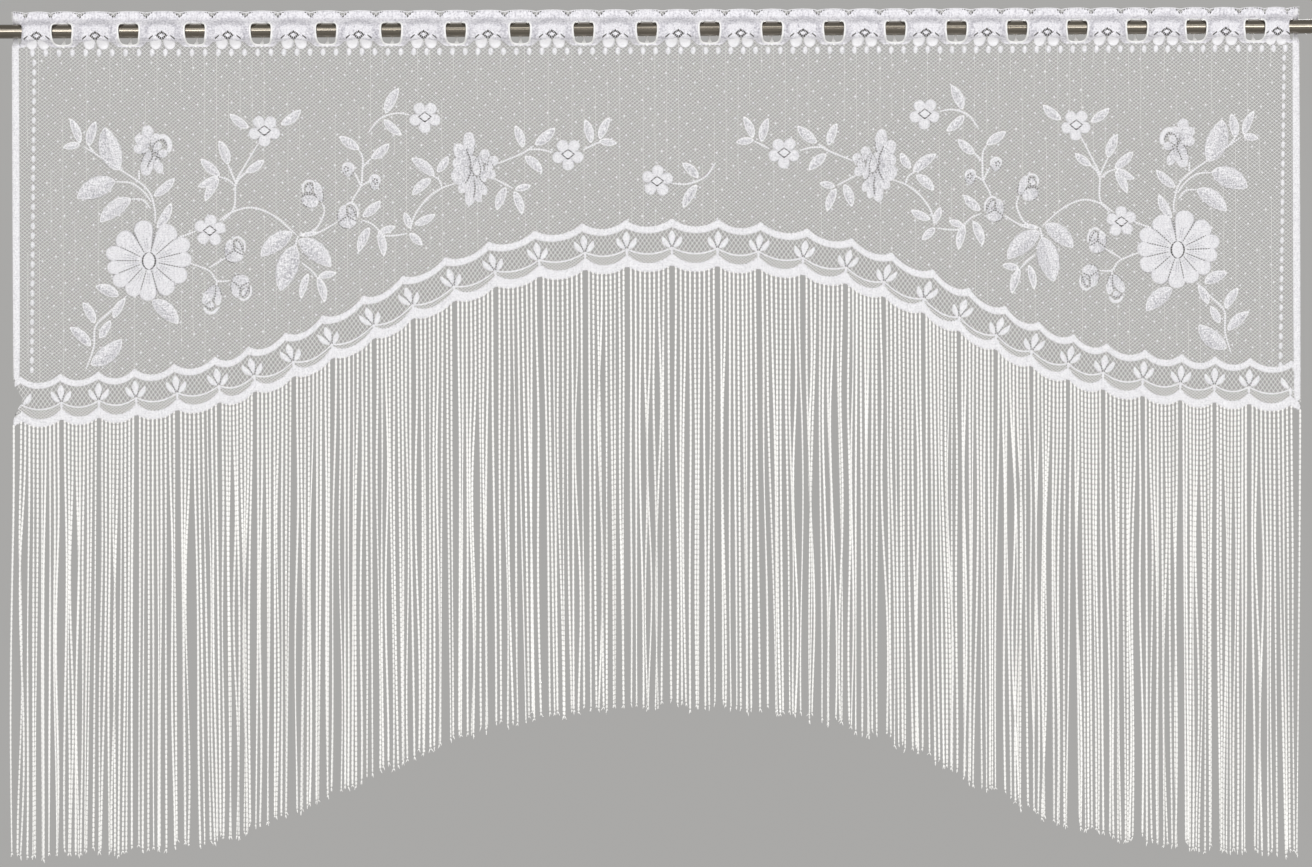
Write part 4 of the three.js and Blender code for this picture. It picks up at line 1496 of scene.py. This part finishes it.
mark_values = np.broadcast_to(marks[:, None, None], all_strings.shape[:3])
chain_values = np.stack([stitch_number, mark_values, 0 * stitch_number], -1)
for name, part in zip(("left", "middle", "right"), np.array_split(np.arange(STRINGS), 3)):
    add_tubes(
        f"strings_{name}", all_strings[part], string_knit, "string", "fringe", chain=chain_values[part]
    )
tail_points = string_tails(string_path[:, -1])
tail_chain = np.full(tail_points.shape, 0.5)
add_tubes("string_tails", tail_points, string_knit, "string", "fringe", chain=tail_chain)


# Sheet
# The panel is one piece of cloth: its height from the top edge down to the strip, across its width.
CUT_STEPS = 2000
cut_x = np.linspace(PANEL_LEFT, PANEL_RIGHT, CUT_STEPS)
cut_high = top_edge(cut_x) - border_edge(cut_x, STRIP_TOP, STRIP_SWAG)


# Studio
# A grey floor well below the curtain, an even grey surround, and soft light from in front and behind.
SURROUND = (0.40, 0.395, 0.386, 1)
FLOOR_DROP = -1.6
FLOOR_RADIUS = 5
FLOOR_SIDES = 64
FLOOR_DARK = (0.42, 0.413, 0.407, 1)
FLOOR_PALE = (0.45, 0.443, 0.437, 1)
CAMERA_AT = (-0.001, -3.3, -0.372)
CAMERA_ROLL = 0.22
# The picture's width at the curtain, in metres.
FRAME_WIDE = 1.207
SENSOR_WIDE = 36
LIGHT_TARGET = (0, 0, -0.35)
# Each light: its place, its width and height, and its power.
LIGHTS = [
    ((-1.7, -3.9, 0.1), 2.4, 1.1, 60.5), ((1.9, -3.9, 0.0), 2.4, 1.1, 64.5),
    ((0, -3.9, 1.9), 3.0, 1.0, 22), ((1.0, 3.9, 0.9), 3.0, 1.6, 105),
]

world = bpy.data.worlds.new("surround")
bpy.context.scene.world = world
world.use_nodes = True
world.node_tree.nodes["Background"].inputs["Color"].default_value = SURROUND
bpy.context.scene.view_settings.view_transform = "Standard"

floor_finish, start = new_finish("pale_floor", Roughness=0.9)
feed(floor_finish, Base_Color=speckle(*places_in_mm(start), 0.01).mix(FLOOR_DARK, FLOOR_PALE))
floor_turn = np.linspace(0, 2 * np.pi, FLOOR_SIDES + 1)[:-1]
floor_mesh = bpy.data.meshes.new("floor")
floor_ring = np.stack([np.cos(floor_turn), np.sin(floor_turn), 0 * floor_turn], -1) * FLOOR_RADIUS
floor_mesh.from_pydata((floor_ring + (0, 0, FLOOR_DROP)).tolist(), [], [list(range(FLOOR_SIDES))])
floor_mesh.materials.append(floor_finish)
floor = bpy.data.objects.new("floor", floor_mesh)
bpy.context.collection.objects.link(floor)


def aimed(place, target):
    """A rotation that looks from a place to a target."""
    return (Vector(target) - Vector(place)).to_track_quat("-Z", "Y").to_euler()


for number, (place, wide, high, power) in enumerate(LIGHTS):
    lamp = bpy.data.lights.new(f"light_{number}", "AREA")
    lamp.shape = "RECTANGLE"
    lamp.size = wide
    lamp.size_y = high
    lamp.energy = power
    light = bpy.data.objects.new(f"light_{number}", lamp)
    light.location = place
    light.rotation_euler = aimed(place, LIGHT_TARGET)
    light.visible_camera = False
    bpy.context.collection.objects.link(light)

camera_data = bpy.data.cameras.new("camera")
camera_data.sensor_width = SENSOR_WIDE
camera_data.lens = SENSOR_WIDE * -CAMERA_AT[1] / FRAME_WIDE
camera = bpy.data.objects.new("camera", camera_data)
camera.location = CAMERA_AT
camera.rotation_euler = (np.pi / 2, np.radians(CAMERA_ROLL), 0)
bpy.context.collection.objects.link(camera)
bpy.context.scene.camera = camera
